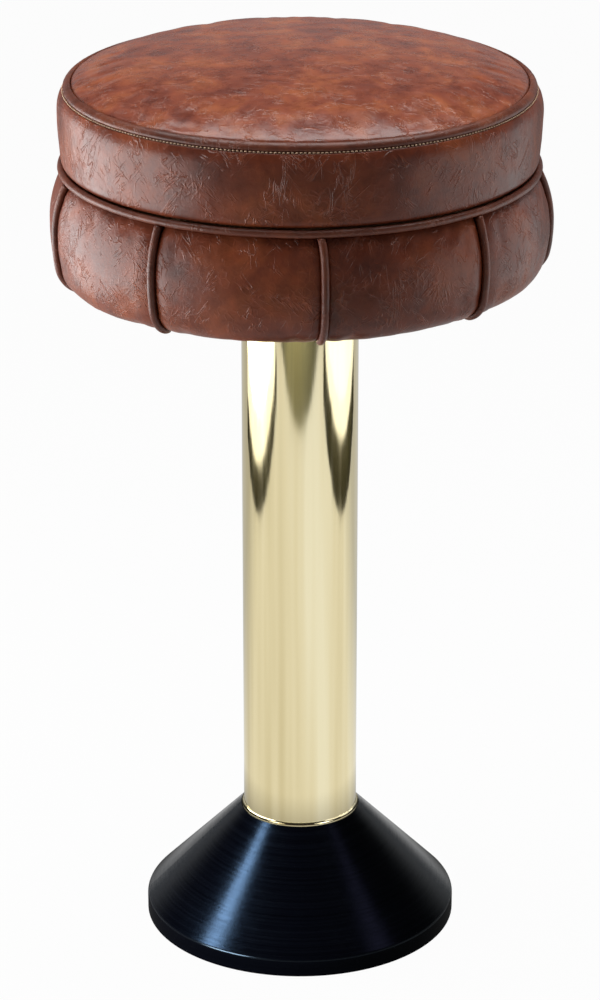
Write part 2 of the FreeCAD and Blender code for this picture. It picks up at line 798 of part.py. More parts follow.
def make_plate_and_fixings():
    """Steel plate under the seat, with its bolts, washers and T-nuts."""
    plate = tube("seat_plate", "plate_bore", "plate_radius", "plate_bottom", "plate_top")
    drill_round(
        plate, "seat_bolt_place", "seat_bolt_hole", "plate_bottom", "plate_thickness", "seat_bolt_count"
    )
    bolts = new_body("seat_bolts")
    head = primitive(
        bolts,
        "AdditivePrism",
        "seat_bolt_place",
        "bolt_head_bottom",
        {"Circumradius": "bolt_head_radius", "Height": "bolt_head_height"},
    )
    head.Polygon = 6
    shank = primitive(
        bolts,
        "AdditiveCylinder",
        "seat_bolt_place",
        "washer_bottom",
        {"Radius": "bolt_radius", "Height": "bolt_length"},
    )
    repeat_round(bolts, [head, shank], "seat_bolt_count")
    washers = new_body("bolt_washers")
    disc = primitive(
        washers,
        "AdditiveCylinder",
        "seat_bolt_place",
        "washer_bottom",
        {"Radius": "washer_radius", "Height": "washer_thickness"},
    )
    bore = primitive(
        washers,
        "SubtractiveCylinder",
        "seat_bolt_place",
        "washer_bottom",
        {"Radius": "seat_bolt_hole", "Height": "washer_thickness"},
    )
    repeat_round(washers, [disc, bore], "seat_bolt_count")
    nuts = new_body("t_nuts")
    barrel = primitive(
        nuts,
        "AdditiveCylinder",
        "seat_bolt_place",
        "t_nut_bottom",
        {"Radius": "t_nut_barrel", "Height": "t_nut_depth"},
    )
    flange = primitive(
        nuts,
        "AdditiveCylinder",
        "seat_bolt_place",
        "base_board_top",
        {"Radius": "t_nut_radius", "Height": "t_nut_flange"},
    )
    thread = primitive(
        nuts,
        "SubtractiveCylinder",
        "seat_bolt_place",
        "t_nut_bottom",
        {"Radius": "t_nut_bore", "Height": "t_nut_depth + t_nut_flange"},
    )
    repeat_round(nuts, [barrel, flange, thread], "seat_bolt_count")


def wood_screw(body, kind, radius, head, face, way):
    """A countersunk wood screw, or its hole, from a board's face upwards (1) or downwards (-1)."""
    cone = "wood_screw_head_height"
    cone_start = face if way == 1 else f"{face} - {cone}"
    wide, narrow = ("Radius1", "Radius2") if way == 1 else ("Radius2", "Radius1")
    sink = primitive(
        body, f"{kind}Cone", "wood_screw_place", cone_start, {wide: head, narrow: radius, "Height": cone}
    )
    return [screw_shank(body, kind, radius, face, way), sink]


def screw_shank(body, kind, radius, face, way):
    """The straight part of a wood screw, or its hole."""
    start = face if way == 1 else f"{face} - wood_screw_length"
    settings = {"Radius": radius, "Height": "wood_screw_length"}
    return primitive(body, f"{kind}Cylinder", "wood_screw_place", start, settings)


def make_boards():
    """The plywood frame of the seat and the screws that hold it together."""
    base = revolve(
        "seat_base_board",
        [
            ("axis", "plate_top"),
            ("board_radius", "plate_top"),
            ("board_radius", "base_board_top"),
            ("axis", "base_board_top"),
        ],
    )
    drill_round(
        base, "seat_bolt_place", "t_nut_hole", "plate_top", "board_thickness", "seat_bolt_count"
    )
    hoop = tube("seat_hoop", "hoop_bore", "board_radius", "base_board_top", "hoop_top")
    top = revolve(
        "seat_top_board",
        [
            ("axis", "hoop_top"),
            ("board_radius", "hoop_top"),
            ("board_radius", "top_board_top"),
            ("axis", "top_board_top"),
        ],
    )
    for board, label, face, way in (
        (base, "hoop_screws", "plate_top", 1),
        (top, "board_screws", "top_board_top", -1),
    ):
        hole = wood_screw(board, "Subtractive", "wood_screw_hole", "wood_screw_sink", face, way)
        repeat_round(board, hole, "wood_screw_count")
        shank = screw_shank(hoop, "Subtractive", "wood_screw_hole", face, way)
        repeat_round(hoop, [shank], "wood_screw_count")
        screws = new_body(label)
        screw = wood_screw(screws, "Additive", "wood_screw_radius", "wood_screw_head", face, way)
        repeat_round(screws, screw, "wood_screw_count")


def make_lower_tier():
    """Nine sewn panels over padding, with an upright piping between each two."""
    revolve(
        "band_padding",
        [("pad_bore", "band_pad_depth_bottom")]
        + up_the_side("band", "pad_depth")
        + [("pad_bore", "band_pad_depth_top_height")],
    )
    panels = revolve(
        "lower_band_panels",
        [("hem_inner", "plate_top"), ("hem_inner", "skin_bottom")]
        + up_the_side("band")
        + down_the_side("band", "skin"),
        "panel_angle",
    )
    repeat_round(panels, [panels.Tip], "panel_count")
    turn_body(panels, "panel_turn")
    welts = new_body("band_welts")
    path = new_sketch(welts, "XZ_Plane", up_the_side("band"), closed=False)
    section = new_sketch(
        welts,
        "YZ_Plane",
        [
            ("band_welt_left", "plate_top"),
            ("axis", "band_welt_low", "band_welt_radius", "left"),
            ("band_welt_right", "plate_top", "band_welt_radius", "left"),
        ],
    )
    bind(section, "AttachmentOffset.Base.z", "band_corner_radius")
    cord = welts.newObject("PartDesign::AdditivePipe", "band_welt_cord")
    cord.Profile = section
    cord.Spine = path
    for sketch in (path, section):
        sketch.Visibility = False
    repeat_round(welts, [cord], "panel_count")
    turn_body(welts, "first_welt_angle")


def make_upper_tier():
    """Foam, boxing, crowned top panel and the two round pipings."""
    revolve(
        "middle_welt",
        [
            ("pad_bore", "middle_tape_low"),
            ("middle_tape_meet", "middle_tape_low"),
            ("middle_welt_outer", "middle_welt_height", "middle_welt_radius", "left"),
            ("middle_tape_meet", "middle_tape_high", "middle_welt_radius", "left"),
            ("pad_bore", "middle_tape_high"),
        ],
    )
    side = up_the_side("boxing", "pad_depth")
    revolve(
        "seat_foam",
        [("axis", "top_board_top"), ("board_radius", "top_board_top")]
        + side[:3]
        + [
            ("foam_side", "foam_side_height", "boxing_pad_depth_high_arc", "left"),
            ("foam_edge", "foam_edge_height"),
            ("crown_pad_depth_turn", "crown_pad_depth_turn_height", "crown_pad_depth_shoulder_arc", "left"),
            ("axis", "crown_pad_depth_top", "crown_pad_depth_arc", "left"),
        ],
    )
    revolve("seat_boxing", up_the_side("boxing") + down_the_side("boxing", "skin"))
    revolve(
        "seat_top_panel",
        [
            ("crown_edge", "crown_edge_height"),
            ("crown_turn", "crown_turn_height", "crown_shoulder_arc", "left"),
            ("axis", "crown_top", "crown_arc", "left"),
            ("axis", "crown_skin_top"),
            ("crown_skin_turn", "crown_skin_turn_height", "crown_skin_arc", "right"),
            ("crown_skin_edge", "crown_skin_edge_height", "crown_skin_shoulder_arc", "right"),
        ],
    )
    welt = doc.addObject("Part::Torus", "top_welt")
    welt.Label = "top_welt"
    bind(welt, "Radius1", "top_welt_ring")
    bind(welt, "Radius2", "top_welt_radius")
    bind(welt, "Placement.Base.z", "top_welt_height")
    return welt


def make_dust_cover():
    """Black cloth under the seat and the staples that hold it."""
    tube("dust_cover", "cloth_hole", "cloth_radius", "cloth_bottom", "skin_bottom")
    staples = new_body("cover_staples")
    wire = "staple_wire"
    boxes = [
        primitive(
            staples,
            "AdditiveBox",
            "staple_place",
            "cloth_bottom - staple_wire",
            {"Length": wire, "Width": "staple_width", "Height": wire},
        )
    ]
    for side in ("-staple_width / 2", "staple_width / 2 - staple_wire"):
        leg = primitive(
            staples,
            "AdditiveBox",
            "staple_place",
            "cloth_bottom",
            {"Length": wire, "Width": wire, "Height": "staple_depth"},
        )
        bind(leg, "AttachmentOffset.Base.y", side)
        boxes.append(leg)
    bind(boxes[0], "AttachmentOffset.Base.y", "-staple_width / 2")
    repeat_round(staples, boxes, "staple_count")


def check_document():
    """Stop if any object failed, or a sub-part has no valid solid; return the sub-parts."""
    for item in doc.Objects:
        if "Invalid" in item.State or "Error" in item.State:
            raise RuntimeError(f"{item.Label} failed: {item.State}")
    parts = [item for item in doc.Objects if item.TypeId == "PartDesign::Body"]
    parts += [item for item in doc.Objects if item.TypeId == "Part::Torus"]
    for part in parts:
        if part.Shape.isNull() or not part.Shape.isValid() or not part.Shape.Solids:
            raise RuntimeError(f"{part.Label} has no valid solid")
    return parts


make_floor_parts()
make_cover_and_sleeve()
make_bearing()
make_spindle()
make_plate_and_fixings()
make_boards()
make_lower_tier()
make_upper_tier()
make_dust_cover()
doc.recompute()

os.makedirs("parts", exist_ok=True)
for sub_part in check_document():
    sub_part.Shape.exportStep(f"parts/{sub_part.Label}.step")
    solids = len(sub_part.Shape.Solids)
    print(f"{sub_part.Label}: {solids} solids, {sub_part.Shape.Volume / 1000:.1f} cm3")
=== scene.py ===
import math
from functools import partial

import bpy
import bmesh
import numpy as np
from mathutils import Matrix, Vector, noise


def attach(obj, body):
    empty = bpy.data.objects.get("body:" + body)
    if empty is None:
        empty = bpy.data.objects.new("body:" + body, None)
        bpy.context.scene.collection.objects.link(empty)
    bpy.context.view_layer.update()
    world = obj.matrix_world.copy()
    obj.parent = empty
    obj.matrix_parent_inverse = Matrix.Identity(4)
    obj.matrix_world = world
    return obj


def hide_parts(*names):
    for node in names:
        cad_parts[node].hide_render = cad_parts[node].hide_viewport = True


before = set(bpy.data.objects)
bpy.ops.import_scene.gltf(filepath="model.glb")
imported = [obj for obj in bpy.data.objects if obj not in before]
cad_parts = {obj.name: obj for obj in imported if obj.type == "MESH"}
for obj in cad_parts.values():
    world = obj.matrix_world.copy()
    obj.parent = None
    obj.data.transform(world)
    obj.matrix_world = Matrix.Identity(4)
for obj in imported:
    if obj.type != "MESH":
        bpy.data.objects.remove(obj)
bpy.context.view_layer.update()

MM = 0.001

# Sizes of the seat, as the solids have them.
HEM_INNER = 165.5
HEM_BOTTOM = 615.2
HEM_TOP = 617.1
CORNER_CENTRE = (188.54, 638.2)
CORNER_RADIUS = 23.0
BAND_BELLY = (213.6, 659.0)
BAND_LOW_ARC = 129.0
BAND_HIGH_ARC = 100.9
BAND_LOW_ANGLE = -11.31
BAND_HIGH_ANGLE = 25.85
BAND_INNER = 186.7
BAND_TOP = 704.4
BAND_BACK = (
    (199.0, BAND_TOP), (190.0, 704.0), (BAND_INNER, 701.0), (BAND_INNER, 660.0), (BAND_INNER, 619.0),
    (184.0, HEM_TOP), (HEM_INNER, HEM_TOP),
)
MIDDLE_WELT = (202.6, 706.8)
MIDDLE_WELT_RADIUS = 3.3
BOXING_CORNER_CENTRE = (198.75, 714.3)
BOXING_CORNER_RADIUS = 4.5
BOXING_BELLY = (205.95, 758.8)
BOXING_LOW_ARC = 373.0
BOXING_HIGH_ARC = 21.08
BOXING_HIGH_CENTRE = (BOXING_BELLY[0] - BOXING_HIGH_ARC, BOXING_BELLY[1])
BOXING_LOW_ANGLE = -6.94
BOXING_HIGH_ANGLE = 39.5
BOXING_EDGE_ANGLE = 41.6
BOXING_EDGE = ((0.1, BOXING_EDGE_ANGLE - 0.6), (0.7, BOXING_EDGE_ANGLE), (2.2, BOXING_EDGE_ANGLE))
BOXING_INNER = 190.9
BOXING_BOTTOM = 709.8
BOXING_BACK = (
    (197.0, 769.5), (BOXING_INNER + 2.0, 768.0), (BOXING_INNER, 765.0), (BOXING_INNER, 742.0),
    (BOXING_INNER, 713.0), (192.5, BOXING_BOTTOM),
)
TOP_WELT = (196.6, 777.0)
TOP_WELT_SIZES = (4.0, 2.4)
TOP_WELT_LEAN = -45.0
CROWN_EDGE = (193.02, 780.25)
SHOULDER_CENTRE = (165.5, 749.85)
SHOULDER_ARC = 41.0
CROWN_ARC = 1330.0
CROWN_APEX = 801.53
CROWN_TUCK_ANGLE = 2.8
CROWN_TUCK = ((193.7, 777.4), (192.4, 775.6), (190.5, 774.5))
CUSHION_SIDE = 190.3
CUSHION_BOTTOM = 708.6
PANELS = 9
FIRST_WELT_ANGLE = -84.5
PANEL_ANGLE = 360.0 / PANELS
BAND_WELT_RADIUS = 3.3
BAND_WELT_SINK = 0.5
BAND_WELT_END_SINK = 1.9
WELT_BOWS = (-0.75, 0.25, -0.2, 0.35, -0.3, 0.2, -0.35, 0.3, 0.3)
PIPING_RIPPLE = 0.05

# Thread of the top seam. Its lean is the angle at which it lies on the boxing's upper arc.
STITCH_LENGTH = 2.5
STITCH_PITCH = 3.4
STITCH_RADIUS = 0.6
STITCH_SINK = 0.1
STITCH_RISE = 0.5
STITCH_LEAN = math.radians(43.6)
STITCH_RING = BOXING_HIGH_CENTRE[0] + BOXING_HIGH_ARC * math.cos(STITCH_LEAN)
STITCHES = int(2.0 * math.pi * STITCH_RING / STITCH_PITCH)
BED_LOW_LEAN = math.radians(37.0)
BED_HIGH_LEAN = math.radians(54.0)
BED_SINK = 0.9
BED_BACK = 3.2
HOLE_DEPTH = 0.8
HOLE_RADIUS = 0.9

# Hollows of the band panels, beside the upright welts and under the middle seam.
VALLEY_DEPTH = 2.6
VALLEY_WIDTH = 0.22
TUCK_DEPTH = 1.2
TUCK_LOW = 697.0
TUCK_RUN = 6.0
UNDERSIDE_TOP = 640.0

# Sag of the lower tier's underside. Its direction is an angle in degrees about the upright axis.
SAG_TOP = 662.0
SAG_INNER = 183.0
SAG_RUN = 9.0
SAG_DEPTH = 4.4
SAG_LEAN = 2.4
SAG_DIRECTION = 190.0

# Cloth simulation of the padded pieces, which start a little slack where it runs.
CLOTH_FRAMES = 20
CLOTH_QUALITY = 6
CLOTH_MASS = 0.3
CLOTH_PRESSURE = 4.0
CLOTH_STIFFNESS = 30.0
CLOTH_SHEAR = 0.4
CLOTH_BENDING = 0.4
CLOTH_INSET = 1.2
SLACK = CLOTH_INSET

# Dents and creases of the vinyl: the scales of their noise fields, and each one's share of the depth.
BEND_SCALE = 24.0
BEND_REACH = 0.012
DENT_SCALE = 17.0
DENT_SHARE = 0.4
PUCKER_SCALE = 60.0
PUCKER_SHARE = 0.16
PATCH_SCALE = 15.0
PATCH_BIAS = 0.15
CREASE_SHARE = 0.4
SUNK_SHARE = 0.7

# Black cloth under the seat.
DUST_INNER = 82.0
DUST_OUTER = 180.5
DUST_LOW = 614.3
DUST_HIGH = 615.0
DUST_WAVE = 0.3
STAPLES = 24


def ease(value):
    """Smooth step from 0 to 1."""
    value = min(1.0, max(0.0, value))
    return value * value * (3.0 - 2.0 * value)


def arc(centre, radius, start, end, steps):
    """Points of a circular arc in the (radius, height) plane, with its angles in degrees."""
    angles = np.radians(np.linspace(start, end, steps))
    return np.column_stack([centre[0] + radius * np.cos(angles), centre[1] + radius * np.sin(angles)])


def join(*stretches):
    """One run of points without the repeated ends of its stretches."""
    points = [tuple(p) for stretch in stretches for p in stretch]
    kept = [points[0]]
    for point in points[1:]:
        if math.dist(point, kept[-1]) > 0.02:
            kept.append(point)
    return np.array(kept)


def resample(points, spacing):
    """The same line with points a constant distance apart."""
    steps = np.linalg.norm(np.diff(points, axis=0), axis=1)
    along = np.concatenate([[0.0], np.cumsum(steps)])
    count = max(2, int(round(along[-1] / spacing)) + 1)
    wanted = np.linspace(0.0, along[-1], count)
    return np.column_stack([np.interp(wanted, along, points[:, k]) for k in range(2)])


def normals_of(points):
    """Unit normals of a line in the (radius, height) plane, on its right-hand side."""
    tangent = np.gradient(points, axis=0)
    tangent /= np.linalg.norm(tangent, axis=1)[:, None]
    return np.column_stack([tangent[:, 1], -tangent[:, 0]])


def band_line(spacing):
    """Outer line of the lower tier, from the hem under the seat up to the middle seam."""
    low_centre = (BAND_BELLY[0] - BAND_LOW_ARC, BAND_BELLY[1])
    high_centre = (BAND_BELLY[0] - BAND_HIGH_ARC, BAND_BELLY[1])
    line = join(
        [(HEM_INNER, HEM_BOTTOM), (CORNER_CENTRE[0], HEM_BOTTOM)],
        arc(CORNER_CENTRE, CORNER_RADIUS, -90, BAND_LOW_ANGLE, 24),
        arc(low_centre, BAND_LOW_ARC, BAND_LOW_ANGLE, 0, 16),
        arc(high_centre, BAND_HIGH_ARC, 0, BAND_HIGH_ANGLE, 24),
    )
    return resample(line, spacing)


def boxing_line(spacing):
    """Outer line of the upper tier's side, from the middle seam to the top seam."""
    low_centre = (BOXING_BELLY[0] - BOXING_LOW_ARC, BOXING_BELLY[1])
    line = join(
        arc(BOXING_CORNER_CENTRE, BOXING_CORNER_RADIUS, -90, BOXING_LOW_ANGLE, 12),
        arc(low_centre, BOXING_LOW_ARC, BOXING_LOW_ANGLE, 0, 20),
        arc(BOXING_HIGH_CENTRE, BOXING_HIGH_ARC, 0, BOXING_HIGH_ANGLE, 16),
    )
    return resample(line, spacing)


def crown_line(spacing):
    """Line of the top panel, from the axis out to the top seam and down behind the welt."""
    crown_centre = (0.0, CROWN_APEX - CROWN_ARC)
    lean = math.degrees(math.atan2(SHOULDER_CENTRE[0], SHOULDER_CENTRE[1] - crown_centre[1]))
    rise = CROWN_EDGE[1] - SHOULDER_CENTRE[1]
    edge = math.degrees(math.atan2(rise, CROWN_EDGE[0] - SHOULDER_CENTRE[0]))
    line = join(
        arc(crown_centre, CROWN_ARC, 90, 90 - lean, 40),
        arc(SHOULDER_CENTRE, SHOULDER_ARC, 90 - lean, edge - CROWN_TUCK_ANGLE, 24),
        CROWN_TUCK,
    )
    return resample(line, spacing)


def sagged(radius, height, angle):
    """Height of a point of the lower tier's underside, which hangs below the board, most on one side."""
    if height > SAG_TOP or radius < SAG_INNER:
        return height
    amount = SAG_DEPTH + SAG_LEAN * math.cos(angle - math.radians(SAG_DIRECTION))
    down = ease((SAG_TOP - height) / (SAG_TOP - HEM_BOTTOM))
    return height - amount * down * ease((radius - SAG_INNER) / SAG_RUN)


def ring_point(radius, height, angle):
    """A point in metres from its radius and height in millimetres and its angle."""
    return Vector((radius * math.cos(angle), radius * math.sin(angle), height)) * MM


def boxing_point(radius, lean, angle):
    """The point at a distance and lean from the centre of the boxing's upper arc."""
    centre = BOXING_HIGH_CENTRE
    return ring_point(centre[0] + radius * math.cos(lean), centre[1] + radius * math.sin(lean), angle)


def object_from(name, points, faces):
    mesh = bpy.data.meshes.new(name)
    mesh.from_pydata([tuple(p) for p in points], [], faces)
    work = bmesh.new()
    work.from_mesh(mesh)
    bmesh.ops.recalc_face_normals(work, faces=work.faces)
    work.to_mesh(mesh)
    work.free()
    mesh.update()
    piece = bpy.data.objects.new(name, mesh)
    bpy.context.scene.collection.objects.link(piece)
    smooth(piece)
    return piece


def smooth(piece):
    piece.data.polygons.foreach_set("use_smooth", [True] * len(piece.data.polygons))
    piece.data.update()


def coordinates(mesh):
    flat = np.empty(len(mesh.vertices) * 3)
    mesh.vertices.foreach_get("co", flat)
    return flat.reshape(-1, 3)


def swept(name, sections, closed):
    """A closed solid through equal loops of points: a ring, or a length with a cap on each end."""
    count, size = len(sections), len(sections[0])
    points = [p for section in sections for p in section]
    faces = []
    for i in range(count if closed else count - 1):
        a, b = i * size, ((i + 1) % count) * size
        for j in range(size):
            k = (j + 1) % size
            faces.append((a + j, b + j, b + k, a + k))
    if not closed:
        faces.append(tuple(range(size)))
        faces.append(tuple(reversed(range((count - 1) * size, count * size))))
    return object_from(name, points, faces)


def swell(piece, held, cap, growth):
    """Blows a padded piece up like a cushion. Held points stay, the others move up to the cap."""
    scene = bpy.context.scene
    group = piece.vertex_groups.new(name="held")
    group.add([int(k) for k in np.nonzero(held)[0]], 1.0, "REPLACE")
    start = coordinates(piece.data)
    cloth = piece.modifiers.new("cover", "CLOTH")
    settings = cloth.settings
    settings.vertex_group_mass = "held"
    settings.quality = CLOTH_QUALITY
    settings.mass = CLOTH_MASS
    settings.tension_stiffness = CLOTH_STIFFNESS
    settings.compression_stiffness = CLOTH_STIFFNESS
    settings.shear_stiffness = CLOTH_STIFFNESS * CLOTH_SHEAR
    settings.bending_stiffness = CLOTH_BENDING
    settings.use_pressure = True
    settings.uniform_pressure_force = CLOTH_PRESSURE
    settings.shrink_min = growth
    settings.effector_weights.gravity = 0.0
    cloth.collision_settings.use_collision = False
    cloth.point_cache.frame_start = 1
    cloth.point_cache.frame_end = CLOTH_FRAMES
    for step in range(1, CLOTH_FRAMES + 1):
        scene.frame_set(step)
    posed = piece.evaluated_get(bpy.context.evaluated_depsgraph_get())
    moved = coordinates(posed.data) - start
    length = np.linalg.norm(moved, axis=1)
    scale = np.minimum(1.0, cap * MM / np.maximum(length, 1e-9))
    piece.modifiers.remove(cloth)
    piece.vertex_groups.remove(group)
    piece.data.vertices.foreach_set("co", (start + moved * scale[:, None]).ravel())
    piece.data.update()
    scene.frame_set(1)


def subdivide(piece, levels=1):
    refine = piece.modifiers.new("fine", "SUBSURF")
    refine.levels = levels
    refine.render_levels = levels
    posed = piece.evaluated_get(bpy.context.evaluated_depsgraph_get())
    mesh = bpy.data.meshes.new_from_object(posed)
    piece.modifiers.clear()
    old = piece.data
    piece.data = mesh
    mesh.name = old.name
    bpy.data.meshes.remove(old)
    smooth(piece)


def field(point, scale, x, y, z):
    """A noise field at a scale, read at an offset of its own."""
    return noise.noise(point * scale + Vector((x, y, z)))


def ridge(point, scale, seed, width):
    """1 on a thin winding line of a noise field, falling to 0 beside it."""
    return max(0.0, 1.0 - abs(field(point, scale, seed, seed * 1.7, -seed)) / width)


def crinkle(piece, depth, seed, weight):
    """Moves the skin in and out along its normals: broad dents, and creases that start and stop."""
    mesh = piece.data
    normals = np.empty(len(mesh.vertices) * 3)
    mesh.vertices.foreach_get("normal", normals)
    normals = normals.reshape(-1, 3)
    points = coordinates(mesh)
    for k, co in enumerate(points):
        share = weight(co)
        if share <= 0.0:
            continue
        point = Vector(co)
        shift = Vector((
            field(point, BEND_SCALE, seed, 0.0, 3.1),
            field(point, BEND_SCALE, 7.7, seed, 0.0),
            field(point, BEND_SCALE, 0.0, 5.3, seed),
        )) * BEND_REACH
        bent = point + shift
        broad = field(point, DENT_SCALE, seed, 2.0, 9.0)
        small = field(point, PUCKER_SCALE, 3.0, seed, 1.0)
        patch = max(0.0, field(point, PATCH_SCALE, seed * 2.0, 8.0, 4.0) + PATCH_BIAS)
        raised = ridge(bent, 22.0, seed, 0.10)
        sunk = ridge(bent, 31.0, seed + 40.0, 0.08)
        crease = raised * patch - SUNK_SHARE * sunk * patch
        move = depth * share * (DENT_SHARE * broad + PUCKER_SHARE * small + CREASE_SHARE * crease)
        points[k] += normals[k] * move
    mesh.vertices.foreach_set("co", points.ravel())
    mesh.update()


# Node materials.
class Nodes:
    """Small helper that adds and links the nodes of one material."""

    def __init__(self, name):
        self.material = bpy.data.materials.new(name)
        self.material.use_nodes = True
        self.tree = self.material.node_tree
        self.shader = self.tree.nodes["Principled BSDF"]
        self.place = self.add("ShaderNodeTexCoord").outputs["Object"]

    def add(self, kind, inputs=None, **settings):
        node = self.tree.nodes.new(kind)
        for key, value in settings.items():
            setattr(node, key, value)
        for key, value in (inputs or {}).items():
            if isinstance(value, bpy.types.NodeSocket):
                self.tree.links.new(value, node.inputs[key])
            else:
                node.inputs[key].default_value = value
        return node

    def math(self, operation, a, b=0.0, c=0.0):
        return self.add("ShaderNodeMath", {0: a, 1: b, 2: c}, operation=operation).outputs[0]

    def noise(self, scale, detail=3.0, roughness=0.5, distortion=0.0, vector=None):
        inputs = {
            "Vector": vector or self.place, "Scale": scale, "Detail": detail,
            "Roughness": roughness, "Distortion": distortion,
        }
        return self.add("ShaderNodeTexNoise", inputs).outputs["Fac"]

    def ramp(self, factor, stops):
        node = self.add("ShaderNodeValToRGB", {"Fac": factor})
        elements = node.color_ramp.elements
        while len(elements) < len(stops):
            elements.new(0.5)
        for element, (position, colour) in zip(elements, stops):
            element.position = position
            element.color = (*colour, 1.0)
        return node.outputs["Color"]

    def fade(self, value, low, high, to_low=0.0, to_high=1.0):
        inputs = {0: value, 1: low, 2: high, 3: to_low, 4: to_high}
        return self.add("ShaderNodeMapRange", inputs).outputs[0]

    def mix(self, factor, a, b, blend="MIX"):
        a, b = [c if isinstance(c, bpy.types.NodeSocket) else (*c, 1.0) for c in (a, b)]
        node = self.add("ShaderNodeMix", {0: factor, 6: a, 7: b}, data_type="RGBA", blend_type=blend)
        return node.outputs[2]

    def moved(self, vector, offset):
        return self.add("ShaderNodeVectorMath", {0: vector, 1: offset}, operation="ADD").outputs[0]

    def scaled(self, scale):
        return self.add("ShaderNodeMapping", {"Vector": self.place, "Scale": scale}).outputs[0]

    def link(self, output, name):
        self.tree.links.new(output, self.shader.inputs[name])

    def bump(self, height, strength, distance):
        node = self.add("ShaderNodeBump", {"Height": height, "Strength": strength, "Distance": distance})
        self.link(node.outputs["Normal"], "Normal")

    def plain(self, **values):
        for key, value in values.items():
            self.shader.inputs[key.replace("_", " ")].default_value = value


# Scales of the vinyl's patterns, in cycles to a metre, and the twist of its three sets of lines.
NETWORK_SCALE = 150.0
WRINKLE_SCALE = 210.0
GRAIN_SCALE = 1100.0
STAIN_SCALE = 70.0
LINE_TWISTS = (0.0, 4.6, -4.0)
LINE_WIDTH = 0.022
LINE_PATCH = (0.52, 0.62)
STAIN_STOPS = ((0.3, (0.74, 0.70, 0.70)), (0.5, (1.0, 1.0, 1.0)), (0.7, (1.16, 1.10, 1.05)))
# Share by which raised lines are lightened: part wear, part painted highlight.
WORN_AND_HIGHLIGHT_SHARE = 0.2


def leather(name, tones, cloud_size, line_stretch, roughness, specular, crease_depth, seed):
    """Distressed vinyl: mottled browns, fine creases in three directions and grain. The raised lines are
    lighter in colour, partly from wear and partly as a painted highlight.
    """
    n = Nodes(name)
    dark, middle, light = tones
    away = n.moved(n.place, (seed, seed * 0.7, -seed))
    up = n.add("ShaderNodeSeparateXYZ", {0: n.place}).outputs["Z"]

    def line(index, twist):
        """Thin broken lines, which climb to one side as the place they are read from is twisted."""
        angle = n.math("MULTIPLY_ADD", up, twist, 1.1 * index)
        turned = n.add("ShaderNodeVectorRotate", {"Vector": n.place, "Angle": angle}, rotation_type="Z_AXIS")
        offset = (seed + 3.7 * index, 5.1 * index, -seed)
        inputs = {"Vector": turned.outputs[0], "Scale": line_stretch, "Location": offset}
        drawn = n.add("ShaderNodeMapping", inputs).outputs[0]
        value = n.noise(1.0, 3.0, 0.55, 0.7, drawn)
        thin = n.fade(n.math("ABSOLUTE", n.math("SUBTRACT", value, 0.5)), 0.0, LINE_WIDTH, 1.0, 0.0)
        elsewhere = n.moved(away, (2.3 * index, -seed, 4.9 * index))
        patch = n.fade(n.noise(31.0 + 6.0 * index, 2.0, vector=elsewhere), *LINE_PATCH)
        return n.math("MULTIPLY", thin, patch)

    upright, left, right = [line(index, twist) for index, twist in enumerate(LINE_TWISTS)]
    lines = n.math("MAXIMUM", upright, n.math("MAXIMUM", left, right))
    cells = {"Vector": away, "Scale": NETWORK_SCALE}
    cell = n.add("ShaderNodeTexVoronoi", cells, feature="DISTANCE_TO_EDGE")
    network = n.fade(cell.outputs["Distance"], 0.0, 0.13, 1.0, 0.0)
    network = n.math("MULTIPLY", network, n.fade(n.noise(34.0, 2.0, vector=away), 0.48, 0.62))
    wrinkle = n.noise(WRINKLE_SCALE, 4.0, 0.6, 1.0, away)
    grain = n.noise(GRAIN_SCALE, 2.0, 0.5, 0.0, away)
    raised = n.math("ADD", lines, n.math("MULTIPLY", network, 0.3))
    height = n.math("ADD", n.math("MULTIPLY", wrinkle, 0.55), n.math("MULTIPLY", grain, 0.08))
    height = n.math("ADD", height, raised)
    n.bump(height, 0.6, crease_depth)

    clouds = n.noise(cloud_size, 5.0, 0.6, 0.5, away)
    stains = n.noise(STAIN_SCALE, 4.0, 0.6, 0.3, away)
    colour = n.ramp(clouds, [(0.32, dark), (0.5, middle), (0.66, light)])
    colour = n.mix(1.0, colour, n.ramp(stains, STAIN_STOPS), "MULTIPLY")
    # Raised lines lightened in colour: wear and a painted highlight on the ridges.
    worn_and_painted_highlight = n.math("MULTIPLY", n.math("MINIMUM", raised, 1.0), WORN_AND_HIGHLIGHT_SHARE)
    colour = n.mix(worn_and_painted_highlight, colour, tuple(min(1.0, c * 1.9 + 0.03) for c in light))
    n.link(colour, "Base Color")
    n.link(n.fade(stains, 0.3, 0.7, roughness, roughness + 0.1), "Roughness")
    n.plain(Specular_IOR_Level=specular)
    return n.material


def thread(name):
    """Tan sewing thread with its twist."""
    n = Nodes(name)
    twist = n.add("ShaderNodeTexWave", {"Vector": n.place, "Scale": 900.0, "Distortion": 1.0})
    tones = [(0.2, (0.42, 0.24, 0.14)), (0.8, (0.72, 0.50, 0.34))]
    n.link(n.ramp(twist.outputs["Fac"], tones), "Base Color")
    n.bump(twist.outputs["Fac"], 0.5, 0.0002)
    n.plain(Roughness=0.42)
    return n.material


def brass(name):
    """Polished brass tube with faint upright draw marks."""
    n = Nodes(name)
    marks = n.noise(1.0, 3.0, 0.6, 0.0, n.scaled((260.0, 260.0, 3.0)))
    broad = n.noise(1.0, 2.0, 0.5, 0.0, n.scaled((55.0, 55.0, 1.3)))
    tones = [(0.3, (0.66, 0.56, 0.31)), (0.5, (0.79, 0.69, 0.42)), (0.7, (0.87, 0.79, 0.53))]
    n.link(n.ramp(broad, tones), "Base Color")
    n.link(n.fade(marks, 0.3, 0.7, 0.045, 0.09), "Roughness")
    n.bump(n.math("ADD", marks, n.math("MULTIPLY", broad, 1.5)), 0.1, 0.0004)
    n.plain(Metallic=1.0)
    return n.material


